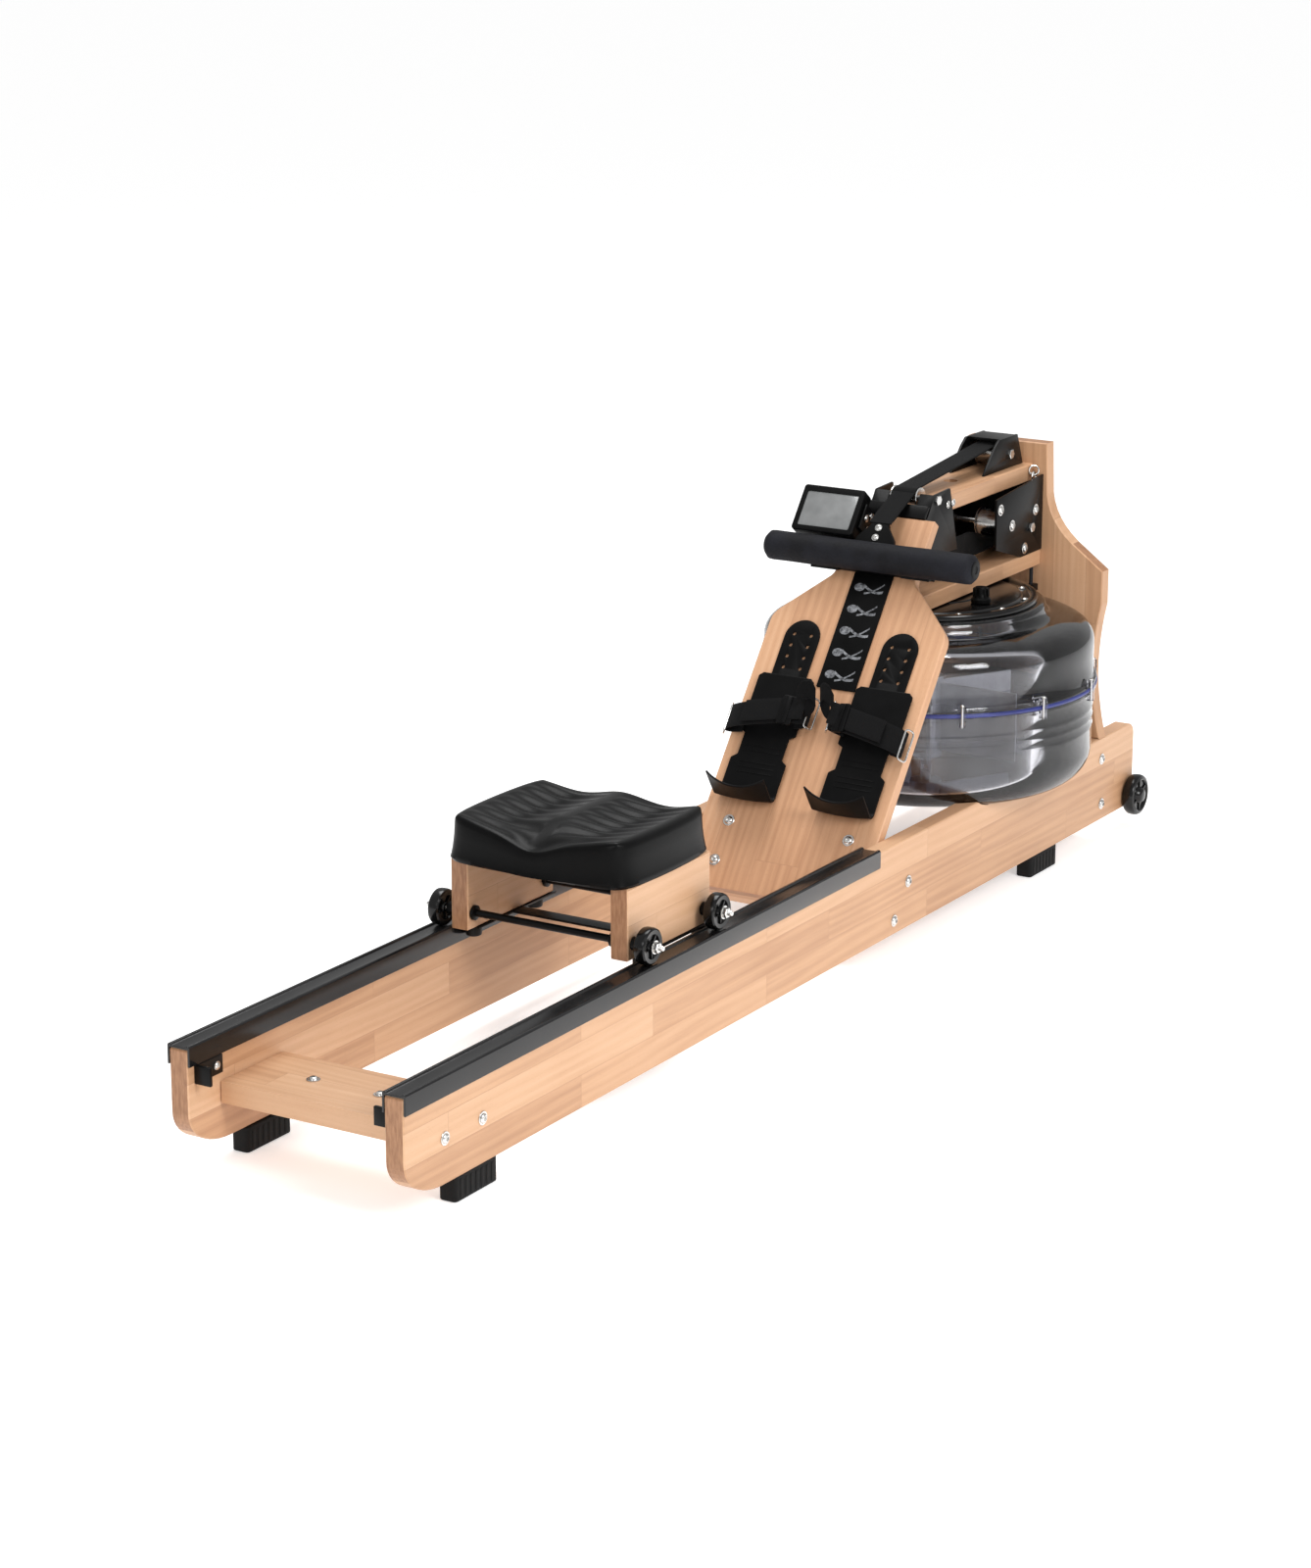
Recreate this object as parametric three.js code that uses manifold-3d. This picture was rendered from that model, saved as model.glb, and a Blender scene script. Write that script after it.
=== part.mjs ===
// Wooden water rower: two rails on feet, a rolling seat, a sloping footboard with sliding heel supports,
// a clear water tank with a paddle, and a pull handle whose strap runs over rollers to the paddle's drum.
// Millimetres, +Z up, +X to the rower's right, +Y towards the tank.
import * as THREE from 'three';
import { mergeVertices } from 'three/addons/utils/BufferGeometryUtils.js';
import Module from 'manifold-3d';

const wasm = await Module();
wasm.setup();

// ---------------------------------------------------------------- driving dimensions
const gap = 0.3; // between pieces that touch
const running = 0.4; // between pieces that slide or turn

const railLength = 2000;
const railHeight = 133;
const railThick = 27;
const frameWidth = 343;
const footHeight = 34;
const footLength = 90;
const footWidth = 26;
const footInset = 3.5; // from the rail's outer face
const rearFootStart = 109;
const frontFootStart = 1648;
const edgeBevel = 1.5; // eased edges of the wooden boards
const roundSteps = 36; // facets round the tank
const wheelSteps = 18; // facets round the wheels and pulleys

const trackLength = 1153;
const trackWall = 3;
const trackSkirt = 21.5;
const trackRim = 2.4; // rims beside the wheel groove
const trackGroove = 20;

const rearBoardStart = 61;
const rearBoardDepth = 125;
const rearBoardThick = 28;
const rearBoardLift = 48; // above the rails' lower edge

const uprightStart = 1871; // rear face, from the rails' rear end
const uprightThick = 24;
const uprightTop = 589; // above the rails' lower edge
const uprightShoulder = 168; // half widths
const uprightNeck = 68;
const uprightWaist = 156;

const boardLean = THREE.MathUtils.degToRad(52.6); // footboard above the horizontal
const boardStart = 1200; // where the footboard's face meets the rails' top level
const boardThick = 18;
const boardFoot = 108; // length below the rails' top level
const boardShoulder = 326;
const boardNeckStart = 402;
const boardNeckEnd = 503;
const boardNeck = 66; // half width
const crosspieceLength = 100;
const crosspieceDepth = 60;

const insertHalf = 32;
const insertStart = 219;
const plateThick = 3;
const footSpread = 81; // centre of each foot from the middle
const footTrackHalf = 29;
const footTrackStart = 84;
const footTrackEnd = 320;
const heelHalf = 46;
const heelNeckHalf = 37;
const heelTop = 228;
const heelBend = 47;
const heelBendRadius = 20;
const heelWall = 27;
const strapWidth = 38;
const strapThick = 2.2;
const strapArch = 26;
const strapStart = 138;

const tankCentre = 1620; // from the rails' rear end
const tankRadius = 249;
const tankFlangeLip = 5;
const tankFlange = tankRadius + tankFlangeLip;
const tankWall = 4;
const tankSink = 14; // how far the tank is let into the rails
const tankFloorRadius = 200;
const tankSplit = 269; // gasket level above the rails' lower edge
const tankShoulder = 335;
const tankNeckRadius = 176;
const gasketThick = 6;
const flangeThick = 5;
const hubRadius = 163;
const hubHeight = 8;
const tankClearance = 4;
const plugX = 100;
const plugBack = 26; // behind the tank's centre
const plugRadius = 11;

const shaftRadius = 8;
const paddleRadius = 150;
const bladeCount = 6;
const bladeHeight = 105;
const drumRadius = 30;
const drumFlange = 38;
const drumHeight = 52;

const shelfHalf = 62;
const shelfBottom = 399; // above the rails' lower edge
const shelfThick = 24.5;
const beamHalf = 45;
const beamBottom = 530;
const beamThick = 26;
const beamStart = 1564;

const strapHalf = 18; // pull strap
const beltThick = 2;
const frontRollerAt = [1545, 555]; // y, height above the rails' lower edge
const frontRollerRadius = 13;
const topPulleyAt = [1822, 577];
const topPulleyRadius = 17;
const lowerPulleyAt = [1830, 465];
const lowerPulleyRadius = 20;
const pulleyHalf = 22;
const pulleyFlange = 3;
const axleRadius = 4;
const sheetThick = 3.7; // pressed steel brackets

const handleHalf = 171;
const gripRadius = 20;
const handleAlong = 421; // along the footboard, from the rails' top level
const handleOut = 30; // out from the footboard's face
const restHalf = 14; // half the width of the handle rest's strip
const yokeThick = 8;
const yokeTop = 476;
const monitorLeft = -138;
const monitorRight = -36;
const monitorStart = 446;
const monitorEnd = 520;
const monitorBack = 18;
const monitorFace = 42;
const monitorPivot = [483, 24]; // along and out from the footboard

const seatPanelHalf = 136.5; // outer faces
const seatPanelThick = 26.7;
const seatPanelStart = 546;
const seatPanelLength = 204;
const seatPanelBottom = 139; // above the rails' lower edge
const seatPanelTop = 235;
const seatPadHalf = 145;
const seatPadStart = 522;
const seatPadLength = 243;
const seatPadHeight = 62;
const seatWheelRadius = 25;
const seatWheelWidth = 16;
const seatWheelInset = 12; // wheel centres from the panels' rear end
const seatWheelBase = 172;
const seatAxleRadius = 5;
const guideRadius = 11;
const guideWidth = 16;
const guideInset = 42;
const guideBase = 146;

const transportRadius = 33;
const transportWidth = 20;
const transportInset = 12; // from the rails' front end
const transportLift = 18; // above the rails' lower edge

// ---------------------------------------------------------------- worked-out places
const railBottom = footHeight + gap;
const railTop = railBottom + railHeight;
const railOuter = frameWidth / 2;
const railInner = railOuter - railThick;
const railCentre = railOuter - railThick / 2;
const betweenRails = railInner - gap;
const level = (height) => railBottom + height;
const sinLean = Math.sin(boardLean);
const cosLean = Math.cos(boardLean);
const trackFloor = railTop + gap + 2.5;
const seatWheelLevel = trackFloor + running + seatWheelRadius;
const tankBottom = railTop - tankSink + gap;
const splitLevel = level(tankSplit);
const shelfTop = level(shelfBottom + shelfThick);
const insertEnd = handleAlong - restHalf - gap;
const drumLevel = level(lowerPulleyAt[1] - 2);
const overallLength = railLength - transportInset + transportRadius;

// ---------------------------------------------------------------- materials
const paint = (color, roughness, metalness = 0, extra = {}) =>
  new THREE.MeshStandardMaterial({ color, roughness, metalness, ...extra });
const wood = () => paint('#d0a478', 0.5);
const blackPlastic = () => paint('#17181a', 0.45);
const blackSteel = () => paint('#131416', 0.4, 0.6);
const steel = () => paint('#c4c6c8', 0.28, 1);
const rubber = () => paint('#121212', 0.8);
const webbing = () => paint('#101114', 0.9);
const clear = () => paint('#8f8e96', 0.08, 0, { transparent: true, opacity: 0.35 });

// ---------------------------------------------------------------- geometry helpers
const alongX = new THREE.Matrix4().makeBasis(
  new THREE.Vector3(0, 1, 0), new THREE.Vector3(0, 0, 1), new THREE.Vector3(1, 0, 0));
const alongY = new THREE.Matrix4().makeBasis(
  new THREE.Vector3(1, 0, 0), new THREE.Vector3(0, 0, 1), new THREE.Vector3(0, -1, 0));

function outline(points) {
  return new THREE.Shape(points.map(([a, b]) => new THREE.Vector2(a, b)));
}

function extrude(shape, depth, bevel = 0, segments = 8) {
  const options = { depth: depth - 2 * bevel, curveSegments: segments, bevelEnabled: bevel > 0 };
  if (bevel > 0) {
    Object.assign(options, { bevelSize: bevel, bevelThickness: bevel, bevelSegments: 1 });
    options.bevelOffset = -bevel;
  }
  const geometry = new THREE.ExtrudeGeometry(shape, options);
  geometry.translate(0, 0, bevel);
  return geometry;
}

// A (y, z) outline from x = low to x = high.
function prismX(shape, low, high, bevel = 0, segments = 8) {
  return extrude(shape, high - low, bevel, segments).applyMatrix4(alongX).translate(low, 0, 0);
}

// An (x, z) outline from y = low to y = high.
function prismY(shape, low, high, bevel = 0, segments = 8) {
  return extrude(shape, high - low, bevel, segments).applyMatrix4(alongY).translate(0, high, 0);
}

// An (x, y) outline from z = low to z = high.
function prismZ(shape, low, high, bevel = 0, segments = 8) {
  return extrude(shape, high - low, bevel, segments).translate(0, 0, low);
}

function block([x0, y0, z0], [x1, y1, z1], bevel = 0) {
  return prismX(outline([[y0, z0], [y1, z0], [y1, z1], [y0, z1]]), x0, x1, bevel);
}

function roundedRectangle(x0, y0, x1, y1, radius) {
  const shape = new THREE.Shape();
  shape.moveTo(x0 + radius, y0);
  shape.lineTo(x1 - radius, y0);
  shape.absarc(x1 - radius, y0 + radius, radius, -Math.PI / 2, 0);
  shape.lineTo(x1, y1 - radius);
  shape.absarc(x1 - radius, y1 - radius, radius, 0, Math.PI / 2);
  shape.lineTo(x0 + radius, y1);
  shape.absarc(x0 + radius, y1 - radius, radius, Math.PI / 2, Math.PI);
  shape.lineTo(x0, y0 + radius);
  shape.absarc(x0 + radius, y0 + radius, radius, Math.PI, Math.PI * 1.5);
  return shape;
}

// A turned piece about Z from (radius, height) points.
function turned(points, segments) {
  const profile = points.map(([radius, height]) => new THREE.Vector2(radius, height));
  return new THREE.LatheGeometry(profile, segments).rotateX(Math.PI / 2);
}

// A turned piece about X: heights become x.
function turnedX(points, segments, y, z) {
  return turned(points, segments).rotateY(Math.PI / 2).translate(0, y, z);
}

function rodX(radius, low, high, y, z, segments = 16) {
  return turnedX([[0, low], [radius, low], [radius, high], [0, high]], segments, y, z);
}

function rodZ(radius, low, high, x, y, segments = 16) {
  return turned([[0, low], [radius, low], [radius, high], [0, high]], segments).translate(x, y, 0);
}

// A flat band lofted through sections: at is its middle, across its width, out its thickness.
function ribbon(sections, width, thick) {
  const positions = [];
  for (const { at, across, out } of sections) {
    for (const [a, o] of [[-1, -1], [1, -1], [1, 1], [-1, 1]]) {
      const corner = at.clone().addScaledVector(across, (a * width) / 2);
      corner.addScaledVector(out, (o * thick) / 2);
      positions.push(...corner.toArray());
    }
  }
  const index = [0, 1, 2, 0, 2, 3];
  const last = 4 * (sections.length - 1);
  index.push(last, last + 2, last + 1, last, last + 3, last + 2);
  for (let s = 0; s < last; s += 4) {
    for (let side = 0; side < 4; side += 1) {
      const next = (side + 1) % 4;
      index.push(s + side, s + 4 + side, s + 4 + next, s + side, s + 4 + next, s + next);
    }
  }
  const geometry = new THREE.BufferGeometry();
  geometry.setAttribute('position', new THREE.Float32BufferAttribute(positions, 3));
  geometry.setIndex(index);
  return facingOut(geometry);
}

function facingOut(geometry) {
  const position = geometry.attributes.position;
  const index = geometry.index.array;
  const [a, b, c] = [new THREE.Vector3(), new THREE.Vector3(), new THREE.Vector3()];
  let volume = 0;
  for (let i = 0; i < index.length; i += 3) {
    a.fromBufferAttribute(position, index[i]);
    b.fromBufferAttribute(position, index[i + 1]);
    c.fromBufferAttribute(position, index[i + 2]);
    volume += a.dot(b.cross(c));
  }
  if (volume < 0) {
    for (let i = 0; i < index.length; i += 3) {
      [index[i], index[i + 1]] = [index[i + 1], index[i]];
    }
  }
  return geometry;
}

function solid(geometry) {
  const bare = geometry.clone();
  bare.deleteAttribute('normal');
  bare.deleteAttribute('uv');
  const merged = mergeVertices(bare, 1e-4);
  const vertProperties = new Float32Array(merged.attributes.position.array);
  const triVerts = new Uint32Array(merged.index.array);
  return new wasm.Manifold(new wasm.Mesh({ numProp: 3, vertProperties, triVerts }));
}

function toGeometry(manifold) {
  const { vertProperties, triVerts, numProp } = manifold.getMesh();
  const positions = new Float32Array((vertProperties.length / numProp) * 3);
  for (let v = 0; v * numProp < vertProperties.length; v += 1) {
    positions.set(vertProperties.subarray(v * numProp, v * numProp + 3), v * 3);
  }
  const geometry = new THREE.BufferGeometry();
  geometry.setAttribute('position', new THREE.BufferAttribute(positions, 3));
  geometry.setIndex(new THREE.BufferAttribute(triVerts, 1));
  return geometry;
}

function cut(geometry, ...tools) {
  return toGeometry(tools.reduce((body, tool) => body.subtract(solid(tool)), solid(geometry)));
}

function join(geometry, ...others) {
  return toGeometry(others.reduce((body, other) => body.add(solid(other)), solid(geometry)));
}

function mirrored(geometry) {
  const copy = geometry.index ? geometry.toNonIndexed() : geometry.clone();
  const position = copy.attributes.position;
  const flipped = new Float32Array(position.array.length);
  const order = [0, 2, 1];
  for (let v = 0; v < position.count; v += 1) {
    const from = v - (v % 3) + order[v % 3];
    flipped.set([-position.getX(from), position.getY(from), position.getZ(from)], v * 3);
  }
  const result = new THREE.BufferGeometry();
  result.setAttribute('position', new THREE.BufferAttribute(flipped, 3));
  return result;
}

// ---------------------------------------------------------------- the assembly
const rower = new THREE.Group();
rower.name = 'water_rower';
const machine = new THREE.Group();
machine.position.y = -overallLength / 2;
rower.add(machine);
const leaning = new THREE.Group();
leaning.position.set(0, boardStart, railTop);
leaning.rotation.x = boardLean;
machine.add(leaning);

function place(parent, name, geometry, material) {
  const mesh = new THREE.Mesh(geometry, material);
  mesh.name = name;
  parent.add(mesh);
}

// Adds a piece on the right and its mirror image on the left.
function placePair(parent, name, geometry, material) {
  place(parent, `${name}_right`, geometry, material());
  place(parent, `${name}_left`, mirrored(geometry), material());
}

// From a footboard place (along, out) to the machine's (y, z).
function fromBoard(along, out) {
  return [boardStart + along * cosLean - out * sinLean, railTop + along * sinLean + out * cosLean];
}

// From the machine's (y, z) to a footboard place (along, out).
function toBoard(y, z) {
  const back = y - boardStart;
  const up = z - railTop;
  return [back * cosLean + up * sinLean, up * cosLean - back * sinLean];
}

// ---------------------------------------------------------------- tank envelope
// The tank's outer shape, grown by its clearance: what the boards around it are cut back from.
function tankEnvelope() {
  const grown = tankRadius + tankClearance;
  const flange = tankFlange + tankClearance;
  const points = [[0, tankBottom - gap], [tankFloorRadius + 2, tankBottom - gap]];
  for (let i = 1; i <= 5; i += 1) {
    const angle = (i / 5) * (Math.PI / 2);
    points.push([
      tankFloorRadius + 2 + (grown - tankFloorRadius - 2) * Math.sin(angle),
      tankBottom - gap + 50 * (1 - Math.cos(angle)),
    ]);
  }
  points.push([grown, splitLevel - 14], [flange, splitLevel - 14]);
  points.push([flange, splitLevel + 14], [grown, splitLevel + 14]);
  points.push([grown, level(tankShoulder) + 2]);
  points.push([grown - 12, level(tankShoulder) + 22]);
  points.push([grown - 46, level(tankShoulder) + 38]);
  points.push([0, level(tankShoulder) + 38]);
  return turned(points, roundSteps).translate(0, tankCentre, 0);
}

// ---------------------------------------------------------------- wooden frame
function rails() {
  const rearRise = 50;
  const rearRun = 80;
  const shape = new THREE.Shape();
  shape.moveTo(rearRun, railBottom);
  shape.lineTo(railLength - 8, railBottom);
  shape.absarc(railLength - 8, railBottom + 8, 8, -Math.PI / 2, 0);
  shape.absarc(railLength - 18, railTop - 18, 18, 0, Math.PI / 2);
  shape.lineTo(4, railTop);
  shape.absarc(4, railTop - 4, 4, Math.PI / 2, Math.PI);
  shape.lineTo(0, railBottom + rearRise);
  shape.absellipse(rearRun, railBottom + rearRise, rearRun, rearRise, Math.PI, Math.PI * 1.5);
  const board = prismX(shape, railInner, railOuter, edgeBevel, 6);
  const axleHole = rodX(axleRadius + running, railInner - 5, railOuter + 5,
    railLength - transportInset, level(transportLift));
  placePair(machine, 'rail', cut(board, tankEnvelope(), axleHole), wood);
}

function rearCrossBoard() {
  const bottom = level(rearBoardLift);
  const low = [-betweenRails, rearBoardStart, bottom];
  const high = [betweenRails, rearBoardStart + rearBoardDepth, bottom + rearBoardThick];
  place(machine, 'rear_cross_board', block(low, high, edgeBevel), wood());
}

function frontUpright() {
  const shape = new THREE.Shape();
  const seatLevel = railTop + gap;
  shape.moveTo(-betweenRails, level(10));
  shape.lineTo(betweenRails, level(10));
  shape.lineTo(betweenRails, seatLevel);
  shape.lineTo(railOuter, seatLevel);
  shape.quadraticCurveTo(uprightWaist + 3, level(180), uprightWaist, level(231));
  shape.quadraticCurveTo(uprightWaist - 1, level(290), uprightShoulder, level(346));
  shape.lineTo(uprightShoulder, level(399));
  shape.lineTo(116, level(437));
  shape.quadraticCurveTo(76, level(469), uprightNeck + 3, level(510));
  shape.lineTo(uprightNeck, level(uprightTop));
  shape.lineTo(-uprightNeck, level(uprightTop));
  shape.lineTo(-uprightNeck - 3, level(510));
  shape.quadraticCurveTo(-76, level(469), -116, level(437));
  shape.lineTo(-uprightShoulder, level(399));
  shape.lineTo(-uprightShoulder, level(346));
  shape.quadraticCurveTo(-uprightWaist + 1, level(290), -uprightWaist, level(231));
  shape.quadraticCurveTo(-uprightWaist - 3, level(180), -railOuter, seatLevel);
  shape.lineTo(-betweenRails, seatLevel);
  const board = prismY(shape, uprightStart, uprightStart + uprightThick, edgeBevel, 6);
  place(machine, 'front_upright', cut(board, tankEnvelope()), wood());
}

function footboard() {
  const shape = new THREE.Shape();
  const side = betweenRails;
  shape.moveTo(-side, -boardFoot);
  shape.lineTo(side, -boardFoot);
  shape.lineTo(side, boardShoulder - 12);
  shape.quadraticCurveTo(side, boardShoulder, side - 10, boardShoulder + 10);
  shape.lineTo(boardNeck + 6, boardNeckStart - 6);
  shape.quadraticCurveTo(boardNeck, boardNeckStart, boardNeck, boardNeckStart + 8);
  shape.lineTo(boardNeck, boardNeckEnd);
  shape.lineTo(-boardNeck, boardNeckEnd);
  shape.lineTo(-boardNeck, boardNeckStart + 8);
  shape.quadraticCurveTo(-boardNeck, boardNeckStart, -boardNeck - 6, boardNeckStart - 6);
  shape.lineTo(-side + 10, boardShoulder + 10);
  shape.quadraticCurveTo(-side, boardShoulder, -side, boardShoulder - 12);
  const board = prismZ(shape, -boardThick, 0, edgeBevel, 4);
  leaning.updateMatrix();
  const envelope = tankEnvelope().applyMatrix4(leaning.matrix.clone().invert());
  place(leaning, 'footboard', cut(board, envelope), wood());
}

// A solid wooden crosspiece behind the footboard's foot, bolted between the rails.
function footboardCrosspiece() {
  const back = -boardThick - gap;
  const low = [-betweenRails, -crosspieceLength, back - crosspieceDepth];
  const high = [betweenRails, 0, back];
  place(leaning, 'footboard_crosspiece', block(low, high, edgeBevel), wood());
}

function tankShelf() {
  const bottom = level(shelfBottom);
  const boardBack = (z) => boardStart + ((z - railTop) * cosLean + boardThick) / sinLean + gap;
  const shape = outline([
    [boardBack(bottom), bottom], [uprightStart - gap, bottom],
    [uprightStart - gap, shelfTop], [boardBack(shelfTop), shelfTop],
  ]);
  const shaftHole = rodZ(17, bottom - 5, shelfTop + 5, 0, tankCentre, 24);
  place(machine, 'tank_shelf', cut(prismX(shape, -shelfHalf, shelfHalf, edgeBevel), shaftHole), wood());
}

function upperBeam() {
  const low = [-beamHalf, beamStart, level(beamBottom)];
  const high = [beamHalf, uprightStart - gap, level(beamBottom + beamThick)];
  const sightHole = rodZ(11, low[2] - 5, high[2] + 5, 0, 1683, 20);
  const strapSlot = block(
    [-strapHalf - 3, topPulleyAt[0] + topPulleyRadius - 9, low[2] - 5],
    [strapHalf + 3, lowerPulleyAt[0] + lowerPulleyRadius + 9, high[2] + 5]);
  place(machine, 'upper_beam', cut(block(low, high, edgeBevel), sightHole, strapSlot), wood());
}

function feet() {
  const outer = railOuter - footInset;
  for (const [name, start] of [['foot_rear', rearFootStart], ['foot_front', frontFootStart]]) {
    const shape = roundedRectangle(outer - footWidth, start, outer, start + footLength, 6);
    placePair(machine, name, prismZ(shape, 0, footHeight, 1.5, 2), rubber);
  }
}

// ---------------------------------------------------------------- seat tracks
function tracks() {
  const inner = railInner - gap - trackWall;
  const outer = railOuter + gap + trackWall;
  const top = trackFloor + trackRim;
  const skirt = railTop - trackSkirt;
  const halfGroove = trackGroove / 2;
  const shape = outline([
    [inner, skirt], [inner + trackWall, skirt], [inner + trackWall, railTop + gap],
    [outer - trackWall, railTop + gap], [outer - trackWall, skirt], [outer, skirt],
    [outer, top - 2], [outer - 2, top], [railCentre + halfGroove + 1.5, top],
    [railCentre + halfGroove, trackFloor], [railCentre - halfGroove, trackFloor],
    [railCentre - halfGroove - 1.5, top], [inner + 2, top], [inner, top - 2],
  ]);
  placePair(machine, 'track', prismY(shape, 0, trackLength), blackPlastic);
}

// Angle brackets under the tracks' inner edge that stop the seat at the rear.
function endStops() {
  const face = railInner - gap;
  const shape = outline([
    [face, 12], [face, 64], [face - 3.2, 64], [face - 3.2, 17], [face - 24, 17], [face - 24, 12],
  ]);
  const top = railTop - trackSkirt - gap;
  placePair(machine, 'end_stop', prismZ(shape, top - 24, top), blackSteel);
}

// ---------------------------------------------------------------- footboard fittings
function footboardInsert() {
  const shape = outline([
    [-insertHalf, insertStart], [insertHalf, insertStart],
    [insertHalf, insertEnd], [-insertHalf, insertEnd],
  ]);
  place(leaning, 'footboard_insert', prismZ(shape, gap, gap + 2.4, 0.8), blackPlastic());
}

function footTracks() {
  const shape = new THREE.Shape();
  shape.moveTo(footSpread - footTrackHalf, footTrackStart);
  shape.lineTo(footSpread + footTrackHalf, footTrackStart);
  shape.absarc(footSpread, footTrackEnd - footTrackHalf, footTrackHalf, 0, Math.PI);
  const holes = [];
  for (let row = 0; row < 4; row += 1) {
    for (const side of [-1, 1]) {
      const along = footTrackEnd - 24 - row * 18;
      holes.push(rodZ(3, -1, plateThick + 2, footSpread + side * 14, along, 8));
    }
  }
  placePair(leaning, 'foot_track', cut(prismZ(shape, gap, gap + plateThick, 0.6, 8), ...holes), blackPlastic);
}

// A foot plate that slides on its track, bent up into a heel cup at its lower end.
function heelSupports() {
  const base = 2 * gap + plateThick;
  const top = base + plateThick;
  const centre = base + heelBendRadius;
  const shape = new THREE.Shape();
  shape.moveTo(heelTop, base);
  shape.lineTo(heelTop, top);
  shape.lineTo(heelBend, top);
  shape.absarc(heelBend, centre, heelBendRadius - plateThick, -Math.PI / 2, -Math.PI, true);
  shape.lineTo(heelBend - heelBendRadius + plateThick, centre + heelWall);
  shape.lineTo(heelBend - heelBendRadius, centre + heelWall);
  shape.absarc(heelBend, centre, heelBendRadius, Math.PI, Math.PI * 1.5);
  const plate = prismX(shape, footSpread - heelHalf, footSpread + heelHalf, 0, 8);
  const notches = [-1, 1].map((side) => {
    const inside = footSpread + side * heelNeckHalf;
    const outside = footSpread + side * (heelHalf + 5);
    return block(
      [Math.min(inside, outside), 96, base - 2], [Math.max(inside, outside), 120, top + 2]);
  });
  placePair(leaning, 'heel_support', cut(plate, ...notches), blackPlastic);
}

// The webbing over each instep, standing on the foot plate's edges.
function footStraps() {
  const base = 3 * gap + 2 * plateThick;
  const across = new THREE.Vector3(0, 1, 0);
  const reach = heelHalf - 2;
  const sections = [];
  for (let i = 0; i <= 16; i += 1) {
    const angle = (i / 16) * Math.PI;
    const out = new THREE.Vector3(Math.cos(angle) / reach, 0, Math.sin(angle) / strapArch).normalize();
    const at = new THREE.Vector3(
      footSpread + (reach - strapThick / 2) * Math.cos(angle),
      strapStart + strapWidth / 2,
      base + (strapArch - strapThick / 2) * Math.sin(angle));
    sections.push({ at, across, out });
  }
  placePair(leaning, 'foot_strap', ribbon(sections, strapWidth, strapThick), webbing);
}

// ---------------------------------------------------------------- tank
function shellCurve(radius, inset) {
  const floor = tankBottom + inset;
  const points = [];
  for (let i = 0; i <= 5; i += 1) {
    const angle = (i / 5) * (Math.PI / 2);
    points.push([
      tankFloorRadius + (radius - tankFloorRadius) * Math.sin(angle),
      floor + (50 - inset) * (1 - Math.cos(angle)),
    ]);
  }
  return points;
}

function tankLowerShell() {
  const top = splitLevel - gasketThick / 2 - gap;
  const inner = tankRadius - tankWall;
  const points = [
    [0, tankBottom], ...shellCurve(tankRadius, 0),
    [tankRadius, top - flangeThick], [tankFlange, top - flangeThick],
    [tankFlange, top], [inner, top],
    ...shellCurve(inner, tankWall).reverse(), [0, tankBottom + tankWall],
  ];
  place(machine, 'tank_lower_shell', turned(points, roundSteps).translate(0, tankCentre, 0), clear());
}

function tankUpperShell() {
  const bottom = splitLevel + gasketThick / 2 + gap;
  const shoulder = level(tankShoulder);
  const outer = [
    [tankFlange, bottom], [tankFlange, bottom + flangeThick], [tankRadius, bottom + flangeThick],
    [tankRadius, shoulder], [tankRadius - 4, shoulder + 11], [tankRadius - 14, shoulder + 20],
    [tankRadius - 30, shoulder + 27], [tankRadius - 52, shoulder + 31.5],
    [tankNeckRadius + 4, shoulder + 34], [tankNeckRadius, shoulder + 38],
    [tankNeckRadius - 2, shoulder + 49], [tankNeckRadius - 8, shoulder + 54],
  ];
  const lid = shoulder + 54;
  const inner = outer.slice(3, 11).map(([radius, height]) => [radius - tankWall, height - 3]);
  const points = [
    ...outer, [30, lid], [30, lid - tankWall], [tankNeckRadius - 10, lid - tankWall],
    ...inner.reverse(), [tankRadius - tankWall, bottom],
  ];
  const shell = turned([...points, points[0]], roundSteps).translate(0, tankCentre, 0);
  const plugHole = rodZ(plugRadius + 1, lid - 20, lid + 5, plugX, tankCentre - plugBack, 20);
  place(machine, 'tank_upper_shell', cut(shell, plugHole), clear());
}

function tankGasket() {
  const inner = tankRadius - tankWall;
  const low = splitLevel - gasketThick / 2;
  const high = splitLevel + gasketThick / 2;
  const points = [[inner, low], [tankFlange, low], [tankFlange, high], [inner, high], [inner, low]];
  const ring = turned(points, roundSteps).translate(0, tankCentre, 0);
  place(machine, 'tank_gasket', ring, paint('#2c3c8c', 0.35));
}

function tankHubCover() {
  const low = level(tankShoulder) + 54 + gap;
  const high = low + hubHeight;
  const points = [
    [shaftRadius + 3, low], [hubRadius, low], [hubRadius, high - 4], [hubRadius - 4, high],
    [shaftRadius + 3, high], [shaftRadius + 3, low],
  ];
  const cover = turned(points, roundSteps).translate(0, tankCentre, 0);
  const plugHole = rodZ(plugRadius + running, low - 5, high + 5, plugX, tankCentre - plugBack, 20);
  place(machine, 'tank_hub_cover', cut(cover, plugHole), blackPlastic());
}

function fillPlug() {
  const seat = level(tankShoulder) + 54 + hubHeight + 2 * gap;
  const cap = plugRadius + 4;
  const points = [
    [0, seat - 18], [plugRadius, seat - 18], [plugRadius, seat], [cap, seat],
    [cap, seat + 7], [cap - 4, seat + 10], [cap - 6, seat + 24], [0, seat + 24],
  ];
  const plug = turned(points, 20).translate(plugX, tankCentre - plugBack, 0);
  place(machine, 'fill_plug', plug, blackPlastic());
}

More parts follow.
